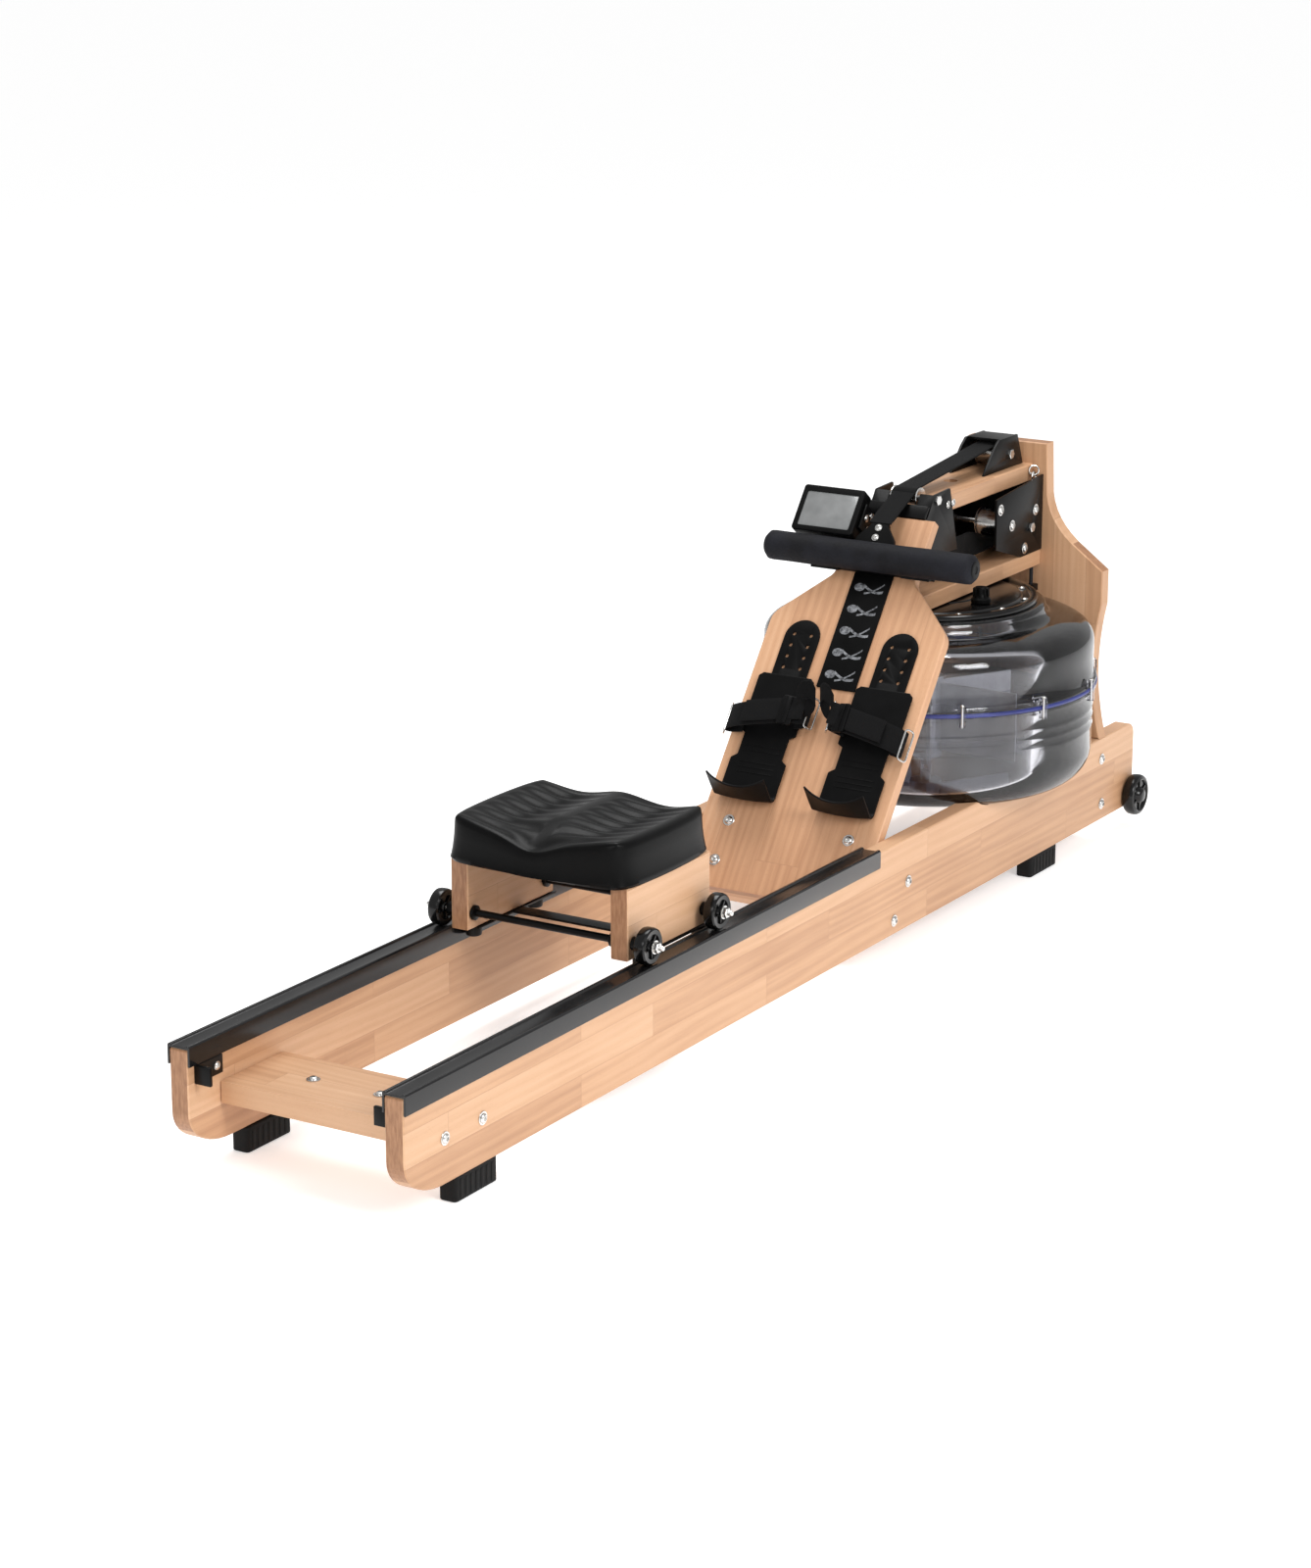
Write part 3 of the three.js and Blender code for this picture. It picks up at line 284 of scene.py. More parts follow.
# %% Beech finish
def beech(name, order, turn=(0, 0, 0), stave=(0.46, 0.0445), shift=(0, 0, 0), warmth=0.0):
    f = Finish(name, Specular_IOR_Level=0.42, Coat_Roughness=0.22)
    place = f.place(order, turn, shift)
    stave_node = {"Vector": place, "Color1": (0, 0, 0, 1), "Color2": (1, 1, 1, 1), "Scale": 1.0,
                  "Mortar Size": 0.0004, "Mortar Smooth": 0.6, "Bias": 0.0,
                  "Brick Width": stave[0], "Row Height": stave[1]}
    tint = f.node("TexBrick", {"offset": 0.37}, stave_node, "Color")
    joint = f.node("TexBrick", {"offset": 0.37}, stave_node, "Fac")
    own = f.node("VectorMath", {"operation": "ADD"},
                 {0: place, 1: f.node("CombineXYZ", {}, {"X": tint * 3.1, "Y": tint * 1.7})})
    swell = f.noise(f.scaled(own, (1.6, 11, 11)), 1.0, 1.0)
    rings = (f.axis(own, "Y") * 420.0 + swell * 26.0).sine() * 0.5 + 0.5
    streak = f.noise(f.scaled(own, (5, 150, 150)), 1.0, 4.0, 0.62)
    pores = f.noise(f.scaled(own, (70, 1900, 1900)), 1.0, 2.0)
    rays = f.noise(f.scaled(own, (260, 1500, 1500)), 1.0, 0.0).above(0.735)
    cloud = f.noise(own, 5.0, 2.0)
    tone = tint * 0.30 + streak * 0.42 + rings * 0.10 + cloud * 0.34 + pores * 0.10 - 0.14
    light = f.ramp(tone, (0.14, (0.40 + warmth, 0.205, 0.105)), (0.48, (0.58 + warmth, 0.335, 0.188)),
                   (0.86, (0.70, 0.445, 0.275)))
    flecked = f.mix(rays * 0.22, light, (0.33, 0.15, 0.07))
    glued = f.mix(joint * 0.35, flecked, (0.30, 0.14, 0.07))
    facing = f.axis(f.place(order, turn, source="Normal"), "X").size()
    cut_end = f.noise(f.scaled(place, (300, 60, 300)), 1.0, 3.0)
    end_grain = f.ramp(cut_end, (0.3, (0.27, 0.125, 0.06)), (0.7, (0.42, 0.215, 0.11)))
    colour = f.mix(facing.above(0.75), glued, end_grain)
    height = streak * 0.5 + pores * 0.5 - joint * 0.8 - rays * 0.3
    return f.wear(Base_Color=colour, Roughness=streak * 0.16 + pores * 0.12 + 0.30,
                  Normal=f.bump(height, 0.00025, 0.55))


lean_angle = math.radians(52.6)
wood_rail = beech("beech_rail", "YZX", shift=(0.13, 0.0, -0.0343))
wood_shelf = beech("beech_shelf", "YXZ", stave=(0.52, 0.052), shift=(0.03, 0.31, 0))
wood_cross = beech("beech_cross", "XYZ", stave=(0.31, 0.048), shift=(0.09, 0.02, 0))
wood_upright = beech("beech_upright", "ZXY", stave=(0.37, 0.056), shift=(0.028, 0, 0.02))
wood_board = beech("beech_board", "YXZ", (-lean_angle, 0, 0), (0.62, 0.072), (0.036, 0.2, 0), 0.02)
wood_seat = beech("beech_seat", "YZX", stave=(0.5, 0.048), shift=(0.02, 0.21, 0.02))
for node, wood in {"rail_right": wood_rail, "rail_left": wood_rail, "tank_shelf": wood_shelf,
                   "upper_beam": wood_shelf, "rear_cross_board": wood_cross,
                   "footboard_crosspiece": wood_cross, "front_upright": wood_upright,
                   "footboard": wood_board, "seat_panel_right": wood_seat,
                   "seat_panel_left": wood_seat}.items():
    nodes[node].data.materials.clear()
    nodes[node].data.materials.append(wood)
print("beech on ten boards")

# %% [markdown]
# ## Black plastics, rubber, webbing and steel
# Nothing black is one flat black. Moulded plastic has a fine eggshell, the seat tracks and
# wheels are polished but scuffed, rubber is dusty, and powder-coated steel has orange peel.
# Each finish varies its roughness, because that is what the eye reads on a dark surface.

# %% Plastic, rubber and steel finishes
def moulded(name, shade, rough, grain=900.0, depth=0.00012, sheen=0.5, tint=(1, 1, 1.04)):
    f = Finish(name, Specular_IOR_Level=sheen)
    place = f.place()
    fine = f.noise(place, grain, 2.0)
    dust = f.noise(place, 16.0, 4.0, 0.6)
    rub = f.noise(f.scaled(place, (60, 9, 60)), 1.0, 3.0)
    tone = dust * 0.6 + rub * 0.4
    dark, pale = shade * 0.7, shade * 1.55
    colour = f.ramp(tone, (0.32, tuple(dark * t for t in tint)), (0.72, tuple(pale * t for t in tint)))
    return f.wear(Base_Color=colour, Roughness=tone * 0.22 + fine * 0.08 + (rough - 0.15),
                  Normal=f.bump(fine, depth, 0.6))


def metal(name, colour, rough, brush=(40, 900, 40)):
    f = Finish(name, Metallic=1.0)
    place = f.place()
    lines = f.noise(f.scaled(place, brush), 1.0, 2.0)
    smudge = f.noise(place, 60.0, 3.0)
    shade = f.ramp(smudge * 0.6 + lines * 0.4, (0.3, tuple(c * 0.72 for c in colour)), (0.7, colour))
    return f.wear(Base_Color=shade, Roughness=lines * 0.14 + smudge * 0.2 + (rough - 0.16),
                  Normal=f.bump(lines, 0.00004, 0.4))


plastic = moulded("black_plastic", 0.0022, 0.40, sheen=0.10)
seat_skin = moulded("seat_foam", 0.0018, 0.34, 1500.0, 0.00010, 0.11)
gloss = moulded("gloss_wheel", 0.0025, 0.19, 500.0, 0.00002, 0.35)
track_gloss = moulded("track_plastic", 0.0075, 0.22, 400.0, 0.00002, 0.42, (1, 0.98, 1.02))
rubber = moulded("rubber", 0.0045, 0.66, 700.0, 0.0002, 0.2)
tyre = moulded("wheel_rubber", 0.0040, 0.52, 1100.0, 0.0001, 0.3)
powder_coat = moulded("black_steel", 0.0022, 0.34, 1300.0, 0.00009, 0.15)
bright_steel = metal("stainless", (0.78, 0.77, 0.75), 0.24)
blade_steel = metal("paddle_steel", (0.52, 0.53, 0.55), 0.34)
print("eight black finishes and two metals")


# %% [markdown]
# Webbing is woven: warp ribs run along the strap and weft threads cross them. The pattern
# follows the strap, so it reads the strap's own UV map, where U runs across the width and
# V along the length, both in metres. Foam grip is a closed-cell skin with tiny pits.

# %% Webbing and foam finishes
def webbing_finish(name, shade):
    f = Finish(name, Specular_IOR_Level=0.12, Sheen_Weight=0.03)
    place = f.place(source="UV")
    across, along = f.axis(place, "X"), f.axis(place, "Y")
    warp = (across * 3800.0).sine() * 0.5 + 0.5
    weft = (along * 2900.0 + (across * 1900.0).sine() * 1.6).sine() * 0.5 + 0.5
    fuzz = f.noise(f.place(), 260.0, 3.0)
    weave = warp * 0.55 + weft * 0.45
    colour = f.ramp(weave * 0.7 + fuzz * 0.3, (0.2, (shade * 0.45,) * 3),
                    (0.85, (shade * 1.6, shade * 1.6, shade * 1.75)))
    return f.wear(Base_Color=colour, Roughness=0.92 - weave * 0.18,
                  Normal=f.bump(weave + fuzz * 0.3, 0.00035, 0.8))


def foam_finish(name):
    f = Finish(name, Specular_IOR_Level=0.18)
    place = f.place()
    pits = f.node("TexVoronoi", {}, {"Vector": place, "Scale": 620.0}, "Distance")
    worn = f.noise(place, 24.0, 3.0)
    colour = f.ramp(worn, (0.35, (0.0045, 0.0045, 0.006)), (0.7, (0.011, 0.0115, 0.016)))
    return f.wear(Base_Color=colour, Roughness=worn * 0.2 + pits * 0.2 + 0.5,
                  Normal=f.bump(pits, 0.0003, 0.7))


webbing = webbing_finish("webbing", 0.0032)
foam = foam_finish("grip_foam")
print("webbing and foam ready")

# %% [markdown]
# ## Clear tank and water
# Real glass shading is slow and noisy in a small render. A wall of smoked plastic is mostly
# see-through with a mirror skin, so each face mixes a tinted Transparent shader with a
# mirror by Fresnel: little reflection face on, a lot at a glancing angle. Water is the same
# idea with a deeper tint and a faint ripple.

# %% Clear finishes
def see_through(name, tint, mirror, index, ripple, depth, veil=0.0):
    f = Finish(name, Metallic=1.0, Roughness=0.04)
    place = f.place()
    wave = f.noise(place, ripple, 2.0)
    smear = f.noise(place, 22.0, 3.0)
    normal = f.bump(wave, depth, 0.5)
    f.wear(Base_Color=f.mix(smear, tuple(c * 0.9 for c in mirror), mirror),
           Roughness=smear * 0.05 + 0.02, Normal=normal)
    through = f.tree.nodes.new("ShaderNodeBsdfTransparent")
    through.inputs["Color"].default_value = (*tint, 1)
    edge = f.node("Fresnel", {}, {"IOR": index, "Normal": normal})
    share = edge + smear * 0.03 + veil
    blend = f.tree.nodes.new("ShaderNodeMixShader")
    f.tree.links.new(share.socket, blend.inputs[0])
    f.tree.links.new(through.outputs[0], blend.inputs[1])
    f.tree.links.new(f.shader.outputs[0], blend.inputs[2])
    f.tree.links.new(blend.outputs[0], f.tree.nodes["Material Output"].inputs["Surface"])
    return f.material


clear_shell = see_through("clear_shell", (0.86, 0.86, 0.88), (0.97, 0.97, 0.98), 1.45, 7.0, 0.0015)
water_body = see_through("water", (0.62, 0.62, 0.65), (0.75, 0.76, 0.80), 1.33, 9.0, 0.0006)
clear_clip = see_through("clear_lug", (0.86, 0.86, 0.88), (0.95, 0.95, 0.96), 1.45, 60.0, 0.001)
gasket_blue = moulded("blue_gasket", 0.11, 0.34, 300.0, 0.00005, 0.5, (0.22, 0.30, 1.55))
print("tank and water finishes ready")

# %% [markdown]
# ## Modelling helpers
# Each piece starts as a Blender primitive at its own place and is then shaped by the same
# operators as by hand. Running them from a script needs one habit: deselect everything
# first, because an operator acts on all that is selected.

# %% Starting and shaping pieces
def only(piece):
    """Leaves one object selected and active."""
    bpy.ops.object.select_all(action="DESELECT")
    piece.select_set(True)
    bpy.context.view_layer.objects.active = piece
    return piece


def begun(name):
    piece = bpy.context.active_object
    piece.name = piece.data.name = name
    return piece


def settle(piece, matrix):
    """Moves a finished piece and puts its place into its mesh."""
    only(piece)
    piece.matrix_world = matrix
    bpy.ops.object.transform_apply(location=True, rotation=True, scale=True)
    return piece


def modified(piece, kind, **settings):
    """Adds one modifier, sets it and applies it."""
    only(piece)
    modifier = piece.modifiers.new(kind.title(), kind)
    for key, value in settings.items():
        setattr(modifier, key, value)
    bpy.ops.object.modifier_apply(modifier=modifier.name)
    return piece


def eased(piece, width, segments=2, angle=30):
    """Rounds the edges sharper than an angle, as on every moulded or sanded thing."""
    return modified(piece, "BEVEL", width=width, segments=segments, limit_method="ANGLE",
                    angle_limit=math.radians(angle), use_clamp_overlap=True)


def smooth(piece, angle=35):
    only(piece)
    bpy.ops.object.shade_smooth_by_angle(angle=math.radians(angle))
    return piece


def outward(piece):
    """Merges doubles and turns every face outwards."""
    only(piece)
    bpy.ops.object.mode_set(mode="EDIT")
    bpy.ops.mesh.select_all(action="SELECT")
    bpy.ops.mesh.remove_doubles(threshold=0.00002)
    bpy.ops.mesh.normals_make_consistent(inside=False)
    bpy.ops.object.mode_set(mode="OBJECT")
    return piece


def block(name, low, high, ease=0.0008, segments=2):
    """A cube primitive between two corners with eased edges."""
    bpy.ops.object.select_all(action="DESELECT")
    low, high = Vector(low), Vector(high)
    bpy.ops.mesh.primitive_cube_add(size=1, location=(low + high) / 2, scale=high - low)
    piece = begun(name)
    bpy.ops.object.transform_apply(location=True, rotation=True, scale=True)
    return eased(piece, ease, segments) if ease else piece


def turned(name, profile, spokes=40, holed=False):
    """A circle primitive extruded and resized ring by ring along Z, like work on a lathe."""
    bpy.ops.object.select_all(action="DESELECT")
    (first, height), steps = profile[0], profile[1:]
    bpy.ops.mesh.primitive_circle_add(vertices=spokes, radius=first, fill_type="NGON",
                                      location=(0, 0, height))
    piece = begun(name)
    bpy.ops.object.transform_apply(location=True, rotation=True, scale=True)
    bpy.ops.object.mode_set(mode="EDIT")
    bpy.ops.mesh.select_mode(type="FACE")
    bpy.ops.mesh.select_all(action="SELECT")
    radius = first
    for wide, high in steps:
        bpy.ops.mesh.extrude_region_move(TRANSFORM_OT_translate={"value": (0, 0, high - height)})
        bpy.ops.transform.resize(value=(wide / radius, wide / radius, 1), center_override=(0, 0, high))
        radius, height = wide, high
    if holed:
        bpy.ops.object.mode_set(mode="OBJECT")
        for face in piece.data.polygons:
            face.select = len(face.vertices) == spokes
        bpy.ops.object.mode_set(mode="EDIT")
        bpy.ops.mesh.bridge_edge_loops()
    bpy.ops.object.mode_set(mode="OBJECT")
    return outward(piece)


ALONG_X = Matrix.Rotation(math.radians(90), 4, "Y")


def on_axis(x, y, z):
    """The place of a piece that was turned about Z and now turns about X."""
    return Matrix.Translation((x, y, z)) @ ALONG_X


def plate(name, outline, low, high, ease=0.0006, segments=2, axes="XYZ"):
    """A filled circle primitive whose corners go to an outline's points, extruded to a thickness."""
    bpy.ops.object.select_all(action="DESELECT")
    bpy.ops.mesh.primitive_circle_add(vertices=len(outline), radius=1, fill_type="NGON")
    piece = begun(name)
    for corner, (a, b) in zip(piece.data.vertices, outline):
        corner.co = (a, b, low)
    bpy.ops.object.mode_set(mode="EDIT")
    bpy.ops.mesh.select_all(action="SELECT")
    bpy.ops.mesh.extrude_region_move(TRANSFORM_OT_translate={"value": (0, 0, high - low)})
    bpy.ops.object.mode_set(mode="OBJECT")
    order = ["XYZ".index(letter) for letter in axes]
    for corner in piece.data.vertices:
        corner.co = [corner.co[order.index(axis)] for axis in range(3)]
    outward(piece)
    return eased(piece, ease, segments) if ease else piece


def arc(centre, radius, start, end, steps=8):
    """Points of an arc, in degrees."""
    angles = [math.radians(start + (end - start) * i / steps) for i in range(steps + 1)]
    return [(centre[0] + radius * math.cos(a), centre[1] + radius * math.sin(a)) for a in angles]


def rounded(x0, y0, x1, y1, radius, steps=5):
    """A rectangle's outline with round corners."""
    return (arc((x1 - radius, y0 + radius), radius, -90, 0, steps)
            + arc((x1 - radius, y1 - radius), radius, 0, 90, steps)
            + arc((x0 + radius, y1 - radius), radius, 90, 180, steps)
            + arc((x0 + radius, y0 + radius), radius, 180, 270, steps))


def surface(name, across, along, place, thick, offset=0.0, uv_size=None):
    """A grid primitive whose points go where place(u, v) says, thickened into a sheet."""
    bpy.ops.object.select_all(action="DESELECT")
    bpy.ops.mesh.primitive_grid_add(x_subdivisions=across, y_subdivisions=along, size=1)
    piece = begun(name)
    for corner in piece.data.vertices:
        corner.co = place(corner.co.x + 0.5, corner.co.y + 0.5)
    if uv_size:
        for loop in piece.data.uv_layers.active.data:
            loop.uv = (loop.uv[0] * uv_size[0], loop.uv[1] * uv_size[1])
    only(piece)
    bpy.ops.object.mode_set(mode="EDIT")
    bpy.ops.mesh.select_all(action="SELECT")
    bpy.ops.mesh.normals_make_consistent(inside=False)
    bpy.ops.object.mode_set(mode="OBJECT")
    return modified(piece, "SOLIDIFY", thickness=thick, offset=offset, use_even_offset=True)


def copied(piece, name, matrix=Matrix.Identity(4)):
    """A copy with its own mesh, moved by a matrix. A mirrored copy gets its faces turned back."""
    twin = bpy.data.objects.new(name, piece.data.copy())
    twin.data.name = name
    bpy.context.scene.collection.objects.link(twin)
    twin.data.transform(matrix)
    if matrix.determinant() < 0:
        twin.data.flip_normals()
    return twin


MIRROR = Matrix.Scale(-1, 4, (1, 0, 0))


def joined(name, pieces):
    """Several meshes as one object."""
    bpy.ops.object.select_all(action="DESELECT")
    for piece in pieces:
        piece.select_set(True)
    bpy.context.view_layer.objects.active = pieces[0]
    if len(pieces) > 1:
        bpy.ops.object.join()
    return begun(name)


def dressed(piece, material, body, stands_for=(), angle=35):
    """Paints a piece, sets it on its body, and hides the CAD nodes that it stands for."""
    smooth(piece, angle)
    piece.data.materials.clear()
    piece.data.materials.append(material)
    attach(piece, body)
    if stands_for:
        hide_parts(*stands_for)
    return piece


def refined(node, name, ease=0.0008, segments=2, angle=28):
    """A merged copy of a CAD node with its flat faces dissolved and its edges eased."""
    piece = copied(nodes[node], name)
    only(piece)
    bpy.ops.object.mode_set(mode="EDIT")
    bpy.ops.mesh.select_all(action="SELECT")
    bpy.ops.mesh.remove_doubles(threshold=0.00002)
    bpy.ops.mesh.dissolve_limited(angle_limit=math.radians(1.0))
    bpy.ops.object.mode_set(mode="OBJECT")
    return eased(piece, ease, segments, angle)


def painted(material, *names):
    """Gives CAD nodes that stay as they are a node material."""
    for name in names:
        nodes[name].data.materials.clear()
        nodes[name].data.materials.append(material)


print("modelling helpers ready")

# %% [markdown]
# ## Places that many pieces share
# The frame gives boxes, so positions come from it. The footboard leans, and pieces on it
# are modelled lying flat, X across, Y up the board, Z out of its face, and then leaned.

# %% Shared places
rail_low, rail_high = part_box("rail_right")
rail_outer, rail_inner = rail_high.x, rail_low.x
rail_bottom, rail_top = rail_low.z, rail_high.z
rear_end = rail_low.y
board_start = rear_end + 1.200
lean = Matrix.Translation((0, board_start, rail_top)) @ Matrix.Rotation(lean_angle, 4, "X")


def from_rear(y, height):
    """A (y, z) place from a distance along the rails and a height over their lower edge."""
    return rear_end + y, rail_bottom + height


tank_low, tank_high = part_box("tank_lower_shell")
tank_y = (tank_low.y + tank_high.y) / 2
print("rails from", round(rear_end, 4), "footboard starts at", round(board_start, 4), "tank at",
      round(tank_y, 4))

# %% [markdown]
# ## Bolts
# The machine is held by bright button-head screws on washers. One is modelled with care: a
# washer, a domed head whose top is inset and pushed in for the hexagon key. Then it is
# copied wherever a screw shows, and the copies on one body are joined.

# %% One screw and its copies
def screw(name, radius=0.0065, washer=0.0088, rise=0.0042):
    head = turned(name, [(radius * 0.94, 0.0008), (radius, 0.0016), (radius * 0.93, rise * 0.62),
                         (radius * 0.76, rise * 0.86), (radius * 0.56, rise)], 24)
    key = turned(name + "_key", [(radius * 0.5, rise - 0.0022), (radius * 0.5, rise + 0.002)], 6)
    only(head)
    cutter = head.modifiers.new("Key", "BOOLEAN")
    cutter.object, cutter.operation, cutter.solver = key, "DIFFERENCE", "EXACT"
    bpy.ops.object.modifier_apply(modifier=cutter.name)
    bpy.data.objects.remove(key)
    disc = turned(name + "_washer", [(washer * 0.97, 0.0), (washer, 0.0004), (washer, 0.0010),
                                     (washer * 0.96, 0.0013), (radius * 0.8, 0.0013)], 28)
    return joined(name, [head, disc])


screw_model = screw("screw_model")
small_screw = screw("small_screw", 0.0042, 0.0056, 0.003)


def screws(name, places, model=None, body="frame"):
    """Copies of the screw, each at a place and facing a direction."""
    made = []
    for place, facing in places:
        turn = Vector(facing).to_track_quat("Z", "Y").to_matrix().to_4x4()
        made.append(copied(model or screw_model, name, Matrix.Translation(place) @ turn))
    return dressed(joined(name, made), bright_steel, body, angle=30)


rail_places = [(0.083, 0.058), (0.162, 0.058), (1.242, 0.069), (1.201, 0.021), (1.882, 0.099), (1.885, 0.026)]
for side, x in (("right", 1), ("left", -1)):
    screws(f"rail_screws_{side}", [((x * rail_outer, *from_rear(y, z)), (x, 0, 0)) for y, z in rail_places])
board_low, board_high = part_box("rear_cross_board")
screws("rear_board_screws", [((x, (board_low.y + board_high.y) / 2, board_high.z),
                              (0, 0, 1)) for x in (-0.05, 0.05)])
out_of_board = lean.to_3x3() @ Vector((0, 0, 1))
screws("footboard_screws", [(lean @ Vector((x, s, 0)), out_of_board) for x, s in
                            ((0.0985, -0.005), (-0.0985, -0.005), (0.1, -0.068), (-0.1, -0.068))])
upright_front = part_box("front_upright")[1].y
screws("upright_screws", [((x, upright_front, rail_bottom + z), (0, 1, 0)) for x, z in
                          ((-0.10, 0.05), (0.10, 0.05), (-0.10, 0.105), (0.10, 0.105),
                           (-0.04, 0.411), (0.04, 0.411), (-0.03, 0.543), (0.03, 0.543))])
print("screws in five groups")

# %% [markdown]
# ## Seat tracks and feet
# The tracks are extruded plastic channels over the rails' top edges, with a groove for the
# seat's wheels. The CAD profile has sharp corners, so a refined copy with eased edges gives
# the long thin highlights. The feet are ribbed rubber blocks.

# %% Tracks, stops and feet
for side in ("right", "left"):
    dressed(refined(f"track_{side}", f"seat_track_{side}", 0.0007, 3), track_gloss, "frame",
            [f"track_{side}"], 30)
    dressed(refined(f"end_stop_{side}", f"track_stop_{side}", 0.0008), powder_coat, "frame",
            [f"end_stop_{side}"], 30)
    sign = 1 if side == "right" else -1
    stop_low, stop_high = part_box(f"end_stop_{side}")
    wall_x = sign * (rail_inner - 0.0035)
    screws(f"stop_screws_{side}", [((wall_x, stop_low.y + d, (stop_low.z + stop_high.z) / 2), (-sign, 0, 0))
                                   for d in (0.018, 0.040)], small_screw)


def rubber_foot(node, name):
    low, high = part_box(node)
    body = plate(name, rounded(low.x, low.y, high.x, high.y, 0.006), 0.0, high.z, 0.002, 3)
    ribs = []
    for i in range(7):
        y = low.y + 0.012 + i * (high.y - low.y - 0.024) / 6
        for x in (low.x, high.x):
            ribs.append(block(name, (x - 0.0006, y - 0.003, 0.004), (x + 0.0006, y + 0.003, high.z - 0.006),
                              0.0005, 2))
    return joined(name, [body, *ribs])


for node in ("foot_rear_right", "foot_rear_left", "foot_front_right", "foot_front_left"):
    dressed(rubber_foot(node, "rubber_" + node), rubber, "frame", [node])
print("two tracks, two stops, four feet")

# %% [markdown]
# ## Seat
# The seat is one piece of moulded foam with a tough skin. Two hollows carry the sit bones,
# curved ribs stop you sliding, a low crest runs down the middle and the rear edge dips for
# the tailbone. A cube would never get there, so we lay a fine grid in the seat's outline,
# raise every point by a height formula and pull the rim down into a flared skirt.

# %% The moulded seat
def bell(value, width):
    return math.exp(-(value / width) ** 2)


pad_low, pad_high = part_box("seat_pad")
pad_centre, pad_half = (pad_low + pad_high) / 2, (pad_high - pad_low) / 2


def pad_height(u, v):
    """Depth of the seat's top below its highest level, u across and v from rear to front."""
    hollow = sum(bell(u - side * 0.47, 0.33) for side in (-1, 1)) * (0.45 + 0.55 * bell(v - 0.12, 0.95))
    reach = max(0.0, 1 - abs((abs(u) - 0.47) / 0.40)) ** 0.5 * min(1.0, max(0.0, (1.02 - abs(v + 0.02)) * 4))
    ribs = math.cos((v * 1.0 + 0.28 * (abs(u) - 0.47) ** 2 - 0.12 * abs(u)) * 26.0)
    tail = bell(u, 0.33) * max(0.0, min(1.0, (-v - 0.30) / 0.70)) ** 1.7
    crest = bell(u, 0.16) * (0.5 + 0.5 * math.tanh((v + 0.35) * 4))
    side_dip = 0.0025 * (1 - bell(abs(u) - 1, 0.3)) * bell(v - 0.9, 0.5)
    return 0.0150 * hollow + 0.0340 * tail + 0.0017 * (1 - crest) + side_dip - 0.0021 * ribs * reach


def seat_shape():
    bpy.ops.object.select_all(action="DESELECT")
    bpy.ops.mesh.primitive_grid_add(x_subdivisions=150, y_subdivisions=126, size=2)
    pad = begun("seat_cushion")
    inset, rim = 0.006, 0.13
    for corner in pad.data.vertices:
        a, b = corner.co.x, corner.co.y
        corner_cut = 0.10 + 0.10 * (abs(a) * abs(b)) ** 6
        u, v = a * math.sqrt(1 - corner_cut * b * b), b * math.sqrt(1 - corner_cut * a * a)
        edge = max(0.0, (max(abs(a), abs(b)) - (1 - rim)) / rim)
        roll = 0.013 * (1 - math.sqrt(max(0.0, 1 - edge ** 2.2)))
        top = pad_high.z + 0.0035 - pad_height(u, v) * (1 - 0.35 * edge ** 2)
        corner.co = (pad_centre.x + u * (pad_half.x - inset), pad_centre.y + v * (pad_half.y - inset),
                     top - roll)
    only(pad)
    bpy.ops.object.mode_set(mode="EDIT")
    bpy.ops.mesh.select_mode(type="FACE")
    bpy.ops.mesh.select_all(action="SELECT")
    bottom = pad_low.z
    for drop, flare in ((0.006, 1.006), (0.012, 1.012), (0.012, 1.012), (0.008, 1.008), (0.001, 0.996)):
        bpy.ops.mesh.extrude_region_move(TRANSFORM_OT_translate={"value": (0, 0, -drop)})
        bpy.ops.transform.resize(value=(flare, flare, 0.66), center_override=(*pad_centre.xy, bottom + 0.012))
    bpy.ops.transform.resize(value=(0.985, 0.985, 0), center_override=(*pad_centre.xy, bottom))
    bpy.ops.object.mode_set(mode="OBJECT")
    return outward(pad)


cushion = dressed(seat_shape(), seat_skin, "seat", ["seat_pad"], 50)
print("seat cushion:", len(cushion.data.polygons), "faces")

# %% [markdown]
# ## Seat running gear
# Two black rods join the seat's panels. Outside each panel come a spacer bush, a wheel and
# a bright bolt with a nut.

# %% Rods, bushes and bolts
def hexagon(name, across, length):
    return turned(name, [(across * 0.86, 0), (across, length * 0.15), (across, length * 0.85),
                         (across * 0.86, length)], 6)


